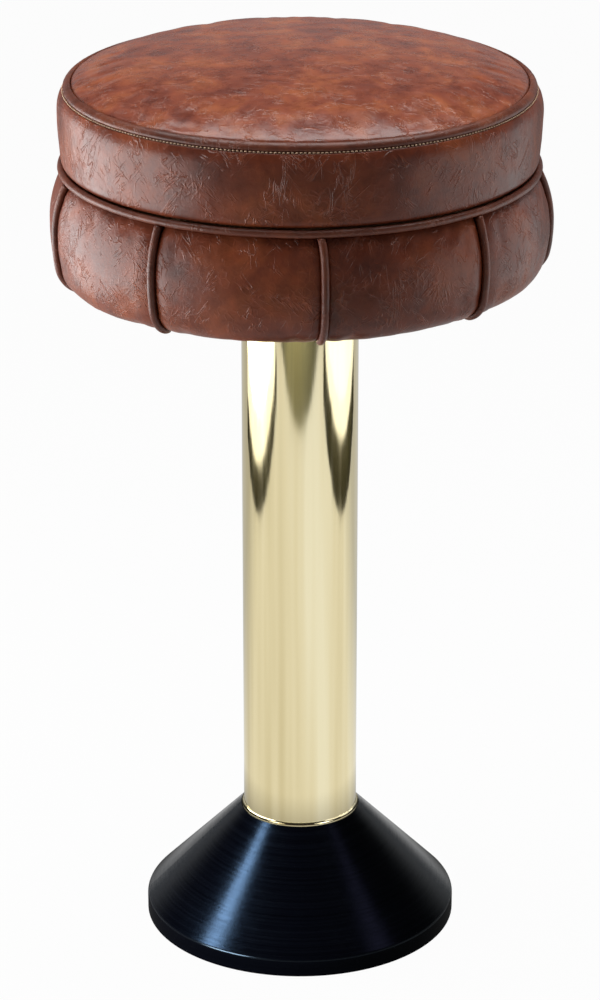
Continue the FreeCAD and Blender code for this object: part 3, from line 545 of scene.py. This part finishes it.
def spun_paint(name):
    """Satin black paint over spun steel: fine rings about the upright axis show through it."""
    n = Nodes(name)
    parts = n.add("ShaderNodeSeparateXYZ", {0: n.place})
    across = n.math("POWER", parts.outputs["X"], 2.0)
    across = n.math("ADD", across, n.math("POWER", parts.outputs["Y"], 2.0))
    radius = n.math("SQRT", across)
    height = n.math("MULTIPLY", parts.outputs["Z"], 0.35)
    flat = n.add("ShaderNodeCombineXYZ", {0: radius, 1: height}).outputs[0]
    rings = n.noise(620.0, 4.0, 0.7, 0.0, flat)
    specks = n.noise(70.0, 3.0, 0.6)
    tones = [(0.35, (0.0004, 0.0004, 0.0010)), (0.65, (0.0012, 0.0013, 0.0024))]
    n.link(n.ramp(rings, tones), "Base Color")
    ring_gloss = n.fade(rings, 0.3, 0.7, 0.15, 0.23)
    speck_gloss = n.fade(specks, 0.3, 0.7, -0.02, 0.02)
    n.link(n.math("ADD", ring_gloss, speck_gloss), "Roughness")
    n.bump(rings, 0.3, 0.0005)
    n.plain(Specular_IOR_Level=0.22, Specular_Tint=(0.62, 0.82, 1.0, 1.0))
    return n.material


def metal(name, colour, roughness, grain=(400.0, 400.0, 60.0)):
    """Bare, plated or ground metal with faint tool marks and a slightly uneven tone."""
    n = Nodes(name)
    marks = n.noise(1.0, 3.0, 0.6, 0.0, n.scaled(grain))
    tone = n.noise(35.0, 4.0, 0.6)
    darker = tuple(c * 0.8 for c in colour)
    n.link(n.ramp(tone, [(0.35, darker), (0.65, colour)]), "Base Color")
    n.link(n.fade(marks, 0.3, 0.7, roughness * 0.8, roughness * 1.25), "Roughness")
    n.bump(marks, 0.15, 0.0003)
    n.plain(Metallic=1.0)
    return n.material


def paint(name, colour, roughness):
    """Sprayed paint with a light orange-peel surface."""
    n = Nodes(name)
    peel = n.noise(420.0, 2.0, 0.5)
    tone = n.noise(28.0, 4.0, 0.6)
    darker, lighter = [tuple(c * share for c in colour) for share in (0.8, 1.25)]
    n.link(n.ramp(tone, [(0.3, darker), (0.7, lighter)]), "Base Color")
    n.link(n.fade(peel, 0.3, 0.7, roughness * 0.85, roughness * 1.15), "Roughness")
    n.bump(peel, 0.12, 0.0004)
    return n.material


def plastic(name, colour):
    """Moulded plastic, faintly uneven in tone and gloss."""
    n = Nodes(name)
    tone = n.noise(60.0, 3.0, 0.5)
    n.link(n.ramp(tone, [(0.3, tuple(c * 0.9 for c in colour)), (0.7, colour)]), "Base Color")
    n.link(n.fade(tone, 0.3, 0.7, 0.42, 0.55), "Roughness")
    n.bump(n.noise(700.0, 2.0), 0.1, 0.0002)
    n.plain(Subsurface_Weight=0.05)
    return n.material


def plywood(name):
    """Sanded plywood: long grain on the faces and darker and lighter plies round the edges."""
    n = Nodes(name)
    figure = n.noise(1.0, 5.0, 0.6, 1.5, n.scaled((14.0, 90.0, 14.0)))
    bands = {"Vector": n.place, "Scale": 105.0, "Distortion": 0.4}
    plies = n.add("ShaderNodeTexWave", bands, bands_direction="Z").outputs["Fac"]
    grain = n.ramp(figure, [(0.3, (0.44, 0.28, 0.15)), (0.7, (0.70, 0.52, 0.33))])
    layers = n.ramp(plies, [(0.4, (0.30, 0.18, 0.10)), (0.6, (0.74, 0.57, 0.38))])
    n.link(n.mix(0.35, grain, layers), "Base Color")
    n.bump(figure, 0.2, 0.0005)
    n.plain(Roughness=0.62)
    return n.material


def dust_cloth(name):
    """Black spun-bonded cloth: pressed fibres and a dotted bond pattern."""
    n = Nodes(name)
    fibres = n.noise(520.0, 6.0, 0.75, 2.5)
    dots = n.add("ShaderNodeTexVoronoi", {"Vector": n.place, "Scale": 520.0, "Randomness": 0.1})
    bond = n.fade(dots.outputs["Distance"], 0.2, 0.45)
    n.link(n.ramp(fibres, [(0.3, (0.008, 0.008, 0.009)), (0.7, (0.035, 0.035, 0.038))]), "Base Color")
    n.bump(n.math("ADD", n.math("MULTIPLY", fibres, 0.5), bond), 0.5, 0.0003)
    n.plain(Roughness=0.85)
    return n.material


# Dark, middle and light tones of each vinyl, and how its lines are stretched.
TOP_TONES = ((0.140, 0.036, 0.024), (0.225, 0.058, 0.031), (0.310, 0.090, 0.038))
SIDE_TONES = ((0.096, 0.020, 0.009), (0.156, 0.033, 0.013), (0.230, 0.056, 0.020))
WELT_TONES = ((0.075, 0.019, 0.010), (0.120, 0.030, 0.015), (0.175, 0.048, 0.022))
UPRIGHT_LINES = (75.0, 75.0, 24.0)
LEVEL_LINES = (85.0, 26.0, 85.0)
TOP_VINYL = leather("vinyl_top", TOP_TONES, 27.0, LEVEL_LINES, 0.23, 0.45, 0.0005, 3.0)
SIDE_VINYL = leather("vinyl_side", SIDE_TONES, 17.0, UPRIGHT_LINES, 0.30, 0.33, 0.0007, 11.0)
WELT_VINYL = leather("vinyl_welt", WELT_TONES, 17.0, UPRIGHT_LINES, 0.34, 0.38, 0.0004, 23.0)
THREAD = thread("thread")
DUST_CLOTH = dust_cloth("dust_cloth_black")
FINISHES = {
    "flange_steel": paint("flange_paint", (0.05, 0.05, 0.055), 0.45),
    "post_steel": metal("post_mill_steel", (0.42, 0.42, 0.43), 0.38),
    "cover_paint": spun_paint("cover_spun_black"),
    "sleeve_brass": brass("polished_brass"),
    "nylon": plastic("natural_nylon", (0.75, 0.73, 0.68)),
    "hub_steel": metal("turned_steel", (0.5, 0.5, 0.52), 0.28, (60.0, 60.0, 900.0)),
    "bearing_steel": metal("ground_steel", (0.7, 0.7, 0.72), 0.14),
    "bronze": metal("oiled_bronze", (0.6, 0.42, 0.2), 0.32, (60.0, 60.0, 900.0)),
    "plate_paint": paint("plate_black", (0.028, 0.028, 0.03), 0.42),
    "zinc_steel": metal("zinc_plate", (0.62, 0.63, 0.66), 0.3),
    "plywood": plywood("sanded_plywood"),
}
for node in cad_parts.values():
    for place in node.material_slots:
        if place.material and place.material.name in FINISHES:
            place.material = FINISHES[place.material.name]


def dress(piece, material, slot, *nodes):
    """Material, body and the CAD nodes that the piece stands for. The slot argument is not used."""
    piece.data.materials.clear()
    piece.data.materials.append(material)
    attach(piece, "seat")
    if nodes:
        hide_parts(*nodes)
    return piece


def crown_weight(co):
    """How much of the crinkles a point of the top panel gets: none at its seam and below."""
    reach = math.hypot(co[0], co[1]) / (CROWN_EDGE[0] * MM)
    return ease((0.985 - reach) / 0.08) if co[2] > 0.77 else 0.0


def boxing_weight(co):
    """How much of the crinkles a point of the boxing gets: none on its back and at its seams."""
    out, height = math.hypot(co[0], co[1]) / MM, co[2] / MM
    if out < 196.5:
        return 0.0
    return ease((height - 714.0) / 9.0) * ease((773.0 - height) / 7.0)


def band_weight(co, seams):
    """How much of the crinkles a point of a band panel gets: none on its back and beside its seams."""
    out, height = math.hypot(co[0], co[1]) / MM, co[2] / MM
    if out < 189.5:
        return 0.0
    angle = math.atan2(co[1], co[0])
    near = min(abs(math.remainder(angle - seam, 2.0 * math.pi)) for seam in seams) * out
    return ease((near - 2.0) / 9.0) * ease((704.0 - height) / 9.0) * ease((out - 189.5) / 8.0)


def make_top_cushion():
    """The crowned cushion under the top panel, from a square grid drawn out to a disc."""
    line = crown_line(1.0)
    steps = np.linalg.norm(np.diff(line, axis=0), axis=1)
    along = np.concatenate([[0.0], np.cumsum(steps)])
    cells = 84
    points, held, faces = [], [], []
    for i in range(cells + 1):
        for j in range(cells + 1):
            u, v = 2.0 * i / cells - 1.0, 2.0 * j / cells - 1.0
            x, y = u * math.sqrt(1.0 - v * v / 2.0), v * math.sqrt(1.0 - u * u / 2.0)
            reach = min(1.0, math.hypot(x, y))
            radius = float(np.interp(reach * along[-1], along, line[:, 0]))
            height = float(np.interp(reach * along[-1], along, line[:, 1]))
            points.append(ring_point(radius, height, math.atan2(y, x)))
            held.append(reach > 0.95)
    side = cells + 1
    count = side * side
    for k in range(count):
        flat = points[k].copy() * (CUSHION_SIDE / CROWN_EDGE[0])
        flat.z = CUSHION_BOTTOM * MM
        points.append(flat)
        held.append(True)
    for i in range(cells):
        for j in range(cells):
            face = (i * side + j, (i + 1) * side + j, (i + 1) * side + j + 1, i * side + j + 1)
            faces.append(face)
            faces.append(tuple(count + k for k in reversed(face)))
    rim = [i * side for i in range(side)]
    rim += [cells * side + j for j in range(1, side)]
    rim += [i * side + cells for i in range(cells - 1, -1, -1)]
    rim += [j for j in range(cells - 1, 0, -1)]
    for k, m in zip(rim, rim[1:] + rim[:1]):
        faces.append((k, m, count + m, count + k))
    piece = object_from("top_cushion", points, faces)
    swell(piece, held, cap=2.0, growth=-0.003)
    subdivide(piece)
    crinkle(piece, 0.0007, 5.0, crown_weight)
    dress(piece, TOP_VINYL, "seat_vinyl", "seat_top_panel", "seat_foam")


def make_boxing():
    """The upper tier's side, up to the narrow bed of the stitches."""
    line = boxing_line(5.2)
    normal = normals_of(line)
    share = np.linspace(0.0, 1.0, len(line))
    inset = np.array([SLACK * ease(min(s, 1.0 - s) / 0.2) for s in share])
    shaped = line - normal * inset[:, None]
    edge = [arc(BOXING_HIGH_CENTRE, BOXING_HIGH_ARC - drop, turn, turn, 1)[0] for drop, turn in BOXING_EDGE]
    back = [*edge, *BOXING_BACK]
    loop = [*shaped, *back]
    count = 252
    sections = []
    for i in range(count):
        angle = 2.0 * math.pi * i / count
        sections.append([ring_point(r, z, angle) for r, z in loop])
    piece = swept("boxing", sections, True)
    held = [not 0.04 < s < 0.86 for s in share] + [True] * len(back)
    swell(piece, held * count, cap=1.6, growth=-0.002)
    subdivide(piece)
    crinkle(piece, 0.0011, 17.0, boxing_weight)
    dress(piece, SIDE_VINYL, "seat_vinyl", "seat_boxing")


def welt_angle(index, share):
    """Angle of an upright welt, in degrees, at a share of the band's height: each wanders a little."""
    base = FIRST_WELT_ANGLE + PANEL_ANGLE * index
    return base + WELT_BOWS[index] * (1.0 - 4.0 * share * (1.0 - share)) ** 2


def band_share(height):
    return (height - HEM_BOTTOM) / (BAND_TOP - HEM_BOTTOM)


def across_panel(index, height, share):
    """Angle of a point of a panel, in radians, at a height and a share of the way between its two welts."""
    up = band_share(height)
    start = welt_angle(index, up)
    end = welt_angle(index + 1, up) if index < PANELS - 1 else welt_angle(0, up) + 360.0
    return math.radians(start + (end - start) * share)


def make_band_panels():
    """The nine sewn panels of the lower tier, each with a valley beside its welts."""
    line = band_line(5.4)
    normal = normals_of(line)
    across = 28
    for index in range(PANELS):
        sections, held = [], []
        for i in range(across + 1):
            u = i / across
            edge = min(u, 1.0 - u) * 2.0
            loop = []
            for k, (r, z) in enumerate(line):
                angle = across_panel(index, z, u)
                round_part = ease((r - CORNER_CENTRE[0] + 6.0) / 8.0) if z < UNDERSIDE_TOP else 1.0
                valley = VALLEY_DEPTH * (1.0 - ease(edge / VALLEY_WIDTH)) * round_part
                tuck = TUCK_DEPTH * ease((z - TUCK_LOW) / TUCK_RUN)
                slack = SLACK * ease(edge / 0.3) * round_part * ease((703.0 - z) / 14.0)
                depth = valley + tuck + slack
                height = sagged(r, z, angle) - normal[k, 1] * depth
                loop.append(ring_point(r - normal[k, 0] * depth, height, angle))
                held.append(not (edge > 0.06 and round_part > 0.1 and z < 700.0))
            for r, z in BAND_BACK:
                loop.append(ring_point(r, z, across_panel(index, z, u)))
                held.append(True)
            sections.append(loop)
        piece = swept(f"band_panel_{index + 1}", sections, False)
        swell(piece, held, cap=2.2, growth=-0.008)
        subdivide(piece)
        middle = welt_angle(index, 0.5)
        seams = [math.radians(middle), math.radians(middle + PANEL_ANGLE)]
        crinkle(piece, 0.0012, 29.0 + 13.0 * index, partial(band_weight, seams=seams))
        nodes = ("lower_band_panels", "band_padding") if index == 0 else ()
        dress(piece, SIDE_VINYL, "seat_vinyl", *nodes)


def cord_ring(name, centre, sizes, lean, count, wobble, seed):
    """Piping round the seat: a closed oval cord whose line and thickness waver a little."""
    around = 20
    lean = math.radians(lean)
    sections = []
    for i in range(count):
        angle = 2.0 * math.pi * i / count
        at = Vector((math.cos(angle), math.sin(angle), 0.0)) * 0.2
        drop = noise.noise(at * 22.0 + Vector((seed, 0.0, 0.0))) * wobble
        swelling = 1.0 + PIPING_RIPPLE * noise.noise(at * 260.0 + Vector((0.0, seed, 0.0)))
        loop = []
        for j in range(around):
            turn = 2.0 * math.pi * j / around
            along = math.cos(turn) * sizes[0] * swelling
            across = math.sin(turn) * sizes[1] * swelling
            out = along * math.cos(lean) - across * math.sin(lean)
            up = along * math.sin(lean) + across * math.cos(lean)
            loop.append(ring_point(centre[0] + out, centre[1] + up + drop, angle))
        sections.append(loop)
    return swept(name, sections, True)


def make_ring_welts():
    middle_sizes = (MIDDLE_WELT_RADIUS, MIDDLE_WELT_RADIUS)
    middle = cord_ring("middle_piping", MIDDLE_WELT, middle_sizes, 0.0, 540, 0.5, 3.0)
    dress(middle, WELT_VINYL, "welt_vinyl", "middle_welt")
    top = cord_ring("top_piping", TOP_WELT, TOP_WELT_SIZES, TOP_WELT_LEAN, 540, 0.25, 8.0)
    dress(top, WELT_VINYL, "welt_vinyl", "top_welt")


def make_band_welts():
    line = band_line(2.0)
    line = line[line[:, 0] > CORNER_CENTRE[0] - 1.0]
    normal = normals_of(line)
    around = 18
    for index in range(PANELS):
        sections = []
        for k, (r, z) in enumerate(line):
            angle = math.radians(welt_angle(index, band_share(z)))
            ripple = 1.0 + PIPING_RIPPLE * noise.noise(Vector((index * 9.0, k * 0.23, 1.0)))
            end_taper = ease((k + 2.0) / 6.0) * 0.35 + 0.65
            radius = BAND_WELT_RADIUS * ripple * end_taper
            across = Vector((-math.sin(angle), math.cos(angle), 0.0))
            out = Vector((normal[k, 0] * math.cos(angle), normal[k, 0] * math.sin(angle), normal[k, 1]))
            low_end = ease((638.0 - z) / 22.0)
            sink = BAND_WELT_SINK + (BAND_WELT_END_SINK - BAND_WELT_SINK) * low_end
            centre = ring_point(r, sagged(r, z, angle), angle) - out * sink * MM
            loop = []
            for j in range(around):
                turn = 2.0 * math.pi * j / around
                loop.append(centre + (across * math.cos(turn) + out * math.sin(turn)) * radius * MM)
            sections.append(loop)
        piece = swept(f"band_piping_{index + 1}", sections, False)
        nodes = ("band_welts",) if index == 0 else ()
        dress(piece, WELT_VINYL, "welt_vinyl", *nodes)


def make_stitches():
    """Lockstitch below the top piping: one short length of thread after another."""
    lean = STITCH_LEAN
    around, along = 8, 7
    points, faces = [], []
    for s in range(STITCHES):
        angle = 2.0 * math.pi * s / STITCHES
        out = Vector((math.cos(lean) * math.cos(angle), math.cos(lean) * math.sin(angle), math.sin(lean)))
        forward = Vector((-math.sin(angle), math.cos(angle), 0.0))
        side = out.cross(forward)
        centre = boxing_point(BOXING_HIGH_ARC - STITCH_SINK, lean, angle)
        base = len(points)
        for a in range(along):
            share = a / (along - 1)
            run = (share - 0.5) * STITCH_LENGTH * MM
            hump = math.sin(math.pi * share)
            thick = STITCH_RADIUS * MM * (0.35 + 0.65 * hump ** 0.5)
            middle = centre + forward * run + out * (hump - 0.55) * STITCH_RISE * MM
            for b in range(around):
                turn = 2.0 * math.pi * b / around
                points.append(middle + (out * math.cos(turn) + side * math.sin(turn)) * thick)
        for a in range(along - 1):
            for b in range(around):
                c = (b + 1) % around
                first, second = base + a * around, base + (a + 1) * around
                faces.append((first + b, second + b, second + c, first + c))
        faces.append(tuple(base + b for b in range(around)))
        last = base + (along - 1) * around
        faces.append(tuple(last + b for b in reversed(range(around))))
    piece = object_from("top_stitches", points, faces)
    dress(piece, THREAD, "welt_vinyl")


def make_stitch_bed():
    """Narrow turned edge of the boxing that the stitches lie in, drawn in at each needle hole."""
    per_stitch, rows = 4, 9
    count = STITCHES * per_stitch
    sections = []
    for i in range(count):
        angle = 2.0 * math.pi * i / count
        hole = 1.0 if i % per_stitch == per_stitch // 2 else 0.0
        loop = []
        for j in range(rows):
            lean = BED_LOW_LEAN + (BED_HIGH_LEAN - BED_LOW_LEAN) * j / (rows - 1)
            from_line = (lean - STITCH_LEAN) * BOXING_HIGH_ARC
            dip = HOLE_DEPTH * hole * math.exp(-(from_line / HOLE_RADIUS) ** 2)
            loop.append(boxing_point(BOXING_HIGH_ARC - BED_SINK - dip, lean, angle))
        for lean in (BED_HIGH_LEAN, BED_LOW_LEAN):
            loop.append(boxing_point(BOXING_HIGH_ARC - BED_BACK, lean, angle))
        sections.append(loop)
    piece = swept("stitch_edge", sections, True)
    dress(piece, SIDE_VINYL, "seat_vinyl")


def make_dust_cover():
    """Black cloth stapled under the seat, pulled tight with shallow waves between the staples."""
    rings, count = 14, 144
    sections = []
    for i in range(count):
        angle = 2.0 * math.pi * i / count
        upper, lower = [], []
        for j in range(rings + 1):
            share = j / rings
            radius = DUST_INNER + (DUST_OUTER - DUST_INNER) * share
            wave = DUST_WAVE * math.sin(angle * STAPLES) * math.sin(math.pi * share) * share
            lower.append(ring_point(radius, DUST_LOW + wave, angle))
            upper.append(ring_point(radius, DUST_HIGH + wave * 0.5, angle))
        sections.append([*lower, *reversed(upper)])
    piece = swept("dust_cloth", sections, True)
    dress(piece, DUST_CLOTH, "dust_cloth", "dust_cover")


make_top_cushion()
make_boxing()
make_band_panels()
make_ring_welts()
make_band_welts()
make_stitches()
make_stitch_bed()
make_dust_cover()


# Studio: a pale floor and background, soft boxes on both sides and above, and boards beside and in front.
# The tones of the room that reflections show, from the horizon up to straight above.
ROOM_TONES = (
    (0.00, (0.19, 0.22, 0.25)), (0.06, (0.26, 0.28, 0.30)), (0.11, (0.52, 0.52, 0.52)),
    (0.22, (0.30, 0.30, 0.30)), (0.36, (0.03, 0.03, 0.03)),
)
WORLD_LIGHT = 0.10
FLOOR_WHITE = 0.97
FLOOR_HALF = 9.0
FLOOR_DEPTH = -0.0004

# The soft boxes' distance from the axis, and the middle of each side's boxes along the view.
BOX_OUT = 1.03
LEFT_MIDDLE = -0.075
RIGHT_MIDDLE = -0.005
COVER_AIM = (0.0, 0.0, 0.06)
SKIRT_TONE = (0.09, 0.085, 0.05)

CAMERA_LENS = 131.6
CAMERA_PLACE = (0.0, -2.9899, 1.5872)
CAMERA_TURN = 68.315


def background_rays(tree):
    """1 for a ray of the camera, a reflection or transmission, and 0 for one that only lights the object."""
    path = tree.nodes.new("ShaderNodeLightPath")
    seen = tree.nodes.new("ShaderNodeMath")
    seen.operation = "MAXIMUM"
    tree.links.new(path.outputs["Is Camera Ray"], seen.inputs[0])
    tree.links.new(path.outputs["Is Glossy Ray"], seen.inputs[1])
    both = tree.nodes.new("ShaderNodeMath")
    both.operation = "MAXIMUM"
    tree.links.new(seen.outputs[0], both.inputs[0])
    tree.links.new(path.outputs["Is Transmission Ray"], both.inputs[1])
    return both.outputs[0]


def make_world():
    """A pale wall round the horizon under a dark ceiling, for reflections. The camera sees plain white."""
    world = bpy.data.worlds.new("studio")
    bpy.context.scene.world = world
    world.use_nodes = True
    tree = world.node_tree
    back = tree.nodes["Background"]
    path = tree.nodes.new("ShaderNodeLightPath")
    place = tree.nodes.new("ShaderNodeTexCoord")
    parts = tree.nodes.new("ShaderNodeSeparateXYZ")
    tree.links.new(place.outputs["Generated"], parts.inputs[0])
    room = tree.nodes.new("ShaderNodeValToRGB")
    while len(room.color_ramp.elements) < len(ROOM_TONES):
        room.color_ramp.elements.new(0.5)
    for element, (position, colour) in zip(room.color_ramp.elements, ROOM_TONES):
        element.position = position
        element.color = (*colour, 1.0)
    tree.links.new(parts.outputs["Z"], room.inputs[0])
    tone = tree.nodes.new("ShaderNodeMix")
    tone.data_type = "RGBA"
    tone.inputs[6].default_value = (WORLD_LIGHT, WORLD_LIGHT, WORLD_LIGHT, 1.0)
    tree.links.new(background_rays(tree), tone.inputs[0])
    tree.links.new(room.outputs[0], tone.inputs[7])
    white = tree.nodes.new("ShaderNodeMix")
    white.data_type = "RGBA"
    white.inputs[7].default_value = (1.0, 1.0, 1.0, 1.0)
    tree.links.new(path.outputs["Is Camera Ray"], white.inputs[0])
    tree.links.new(tone.outputs[2], white.inputs[6])
    tree.links.new(white.outputs[2], back.inputs["Color"])


def make_floor():
    """The floor: white to the camera. In reflections it carries a painted shadow close to the stool and
    painted shade behind it, and it is darker far away.
    """
    signs = ((-1, -1), (1, -1), (1, 1), (-1, 1))
    corners = [(x * FLOOR_HALF, y * FLOOR_HALF, FLOOR_DEPTH) for x, y in signs]
    floor = object_from("floor", corners, [(0, 1, 2, 3)])
    n = Nodes("floor_white")
    tree = n.tree
    dust = n.noise(3.0, 3.0)
    n.link(n.ramp(dust, [(0.3, (0.38, 0.38, 0.38)), (0.7, (0.42, 0.42, 0.42))]), "Base Color")
    n.plain(Roughness=0.7, Specular_IOR_Level=0.2)
    parts = n.add("ShaderNodeSeparateXYZ", {0: n.place})
    reach = n.add("ShaderNodeVectorMath", {0: n.place}, operation="LENGTH").outputs["Value"]
    # Painted shadow: the reflected tone falls almost to black close to the base.
    near = n.fade(reach, 0.165, 0.32, 0.05, 0.96)
    # Painted shade: the reflected tone is darker behind the stool.
    behind = n.fade(parts.outputs["Y"], 0.12, 0.6, 1.0, 0.62)
    far = n.fade(reach, 1.6, 2.1, 1.0, 0.3)
    reflected_floor_with_painted_shade = n.math("MULTIPLY", n.math("MULTIPLY", near, behind), far)
    path = n.add("ShaderNodeLightPath")
    tone = n.add("ShaderNodeMapRange", {0: path.outputs["Is Camera Ray"], 3: reflected_floor_with_painted_shade, 4: 1.0}).outputs[0]
    glow = n.add("ShaderNodeEmission", {"Strength": tone})
    share = n.math("MULTIPLY", background_rays(tree), FLOOR_WHITE)
    blend = n.add("ShaderNodeMixShader")
    output = tree.nodes["Material Output"]
    tree.links.new(share, blend.inputs[0])
    tree.links.new(n.shader.outputs[0], blend.inputs[1])
    tree.links.new(glow.outputs[0], blend.inputs[2])
    tree.links.new(blend.outputs[0], output.inputs["Surface"])
    floor.data.materials.append(n.material)


def make_flag(name, low, high, tone):
    """A board that the camera doesn't see, for reflections and to hold light back."""
    (x0, y0, z0), (x1, y1, z1) = low, high
    corners = [(x, y, z) for x in (x0, x1) for y in (y0, y1) for z in (z0, z1)]
    faces = [(0, 1, 3, 2), (4, 6, 7, 5), (0, 4, 5, 1), (2, 3, 7, 6), (0, 2, 6, 4), (1, 5, 7, 3)]
    board = object_from(name, corners, faces)
    n = Nodes(name)
    n.link(n.ramp(n.noise(6.0), [(0.3, tuple(c * 0.8 for c in tone)), (0.7, tone)]), "Base Color")
    n.plain(Roughness=0.9, Specular_IOR_Level=0.1)
    board.data.materials.append(n.material)
    board.visible_camera = False


def make_soft_box(name, place, target, width, height, radiance, colour=(1.0, 1.0, 1.0)):
    """An area lamp turned to a target, of a given radiance whatever its size."""
    lamp = bpy.data.lights.new(name, "AREA")
    lamp.shape = "RECTANGLE"
    lamp.size = width
    lamp.size_y = height
    lamp.energy = radiance * math.pi * width * height
    lamp.color = colour
    holder = bpy.data.objects.new(name, lamp)
    holder.location = place
    holder.rotation_euler = (Vector(target) - Vector(place)).to_track_quat("-Z", "Y").to_euler()
    holder.visible_camera = False
    bpy.context.scene.collection.objects.link(holder)
    return holder


make_world()
make_floor()
make_flag("room_front", (-1.5, -1.37, 0.0), (1.5, -1.34, 0.34), (0.56, 0.54, 0.35))
make_flag("left_skirt", (-1.045, -1.0, 0.0), (-BOX_OUT, 0.74, 0.059), SKIRT_TONE)
make_flag("right_skirt", (BOX_OUT, -1.0, 0.0), (1.045, 0.88, 0.089), SKIRT_TONE)
sides = []
for name, out, middle, height, width, tall, radiance in (
    ("left_box", -BOX_OUT, LEFT_MIDDLE, 0.465, 1.55, 0.67, 5.9),
    ("left_box_foot", -BOX_OUT, LEFT_MIDDLE, 0.0945, 1.55, 0.07, 1.1),
    ("right_box", BOX_OUT, RIGHT_MIDDLE, 0.47, 1.69, 0.66, 1.3),
    ("right_box_foot", BOX_OUT, RIGHT_MIDDLE, 0.1145, 1.69, 0.05, 0.8),
):
    aim = (0.0, middle, height)
    sides.append(make_soft_box(name, (out, middle, height), aim, width, tall, radiance))
make_soft_box("top_box", (0.0, 0.14, 2.15), (0.0, 0.14, 0.8), 2.1, 1.04, 5.2)
cover_lamps = [
    make_soft_box("strip_box", (-1.25, -0.29, 1.17), COVER_AIM, 0.27, 0.4, 42.0, (0.50, 0.70, 1.0)),
    make_soft_box("rim_box", (-0.75, -0.6, 0.27), (0.0, -0.1, 0.02), 0.5, 0.2, 60.0, (0.8, 0.9, 1.0)),
    make_soft_box("faint_box", (1.15, -0.45, 1.1), COVER_AIM, 0.3, 0.4, 1.0, (0.75, 0.6, 1.0)),
]


def link_light(name, lamps, state):
    """Keeps lamps off the base cover with the state EXCLUDE, and lets them reach it alone with INCLUDE."""
    linked = bpy.data.collections.new(name)
    linked.objects.link(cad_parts["base_cover"])
    linked.collection_objects[0].light_linking.link_state = state
    for lamp in lamps:
        lamp.light_linking.receiver_collection = linked


link_light("side_boxes_skip", sides, "EXCLUDE")
link_light("cover_lamps_reach", cover_lamps, "INCLUDE")

# Camera at the photograph's viewing angle.
camera_data = bpy.data.cameras.new("camera")
camera_data.lens = CAMERA_LENS
camera_data.sensor_width = 36.0
camera_data.sensor_fit = "AUTO"
camera = bpy.data.objects.new("camera", camera_data)
camera.location = CAMERA_PLACE
camera.rotation_euler = (math.radians(CAMERA_TURN), 0.0, 0.0)
bpy.context.scene.collection.objects.link(camera)
bpy.context.scene.camera = camera
bpy.context.scene.view_settings.view_transform = "Standard"
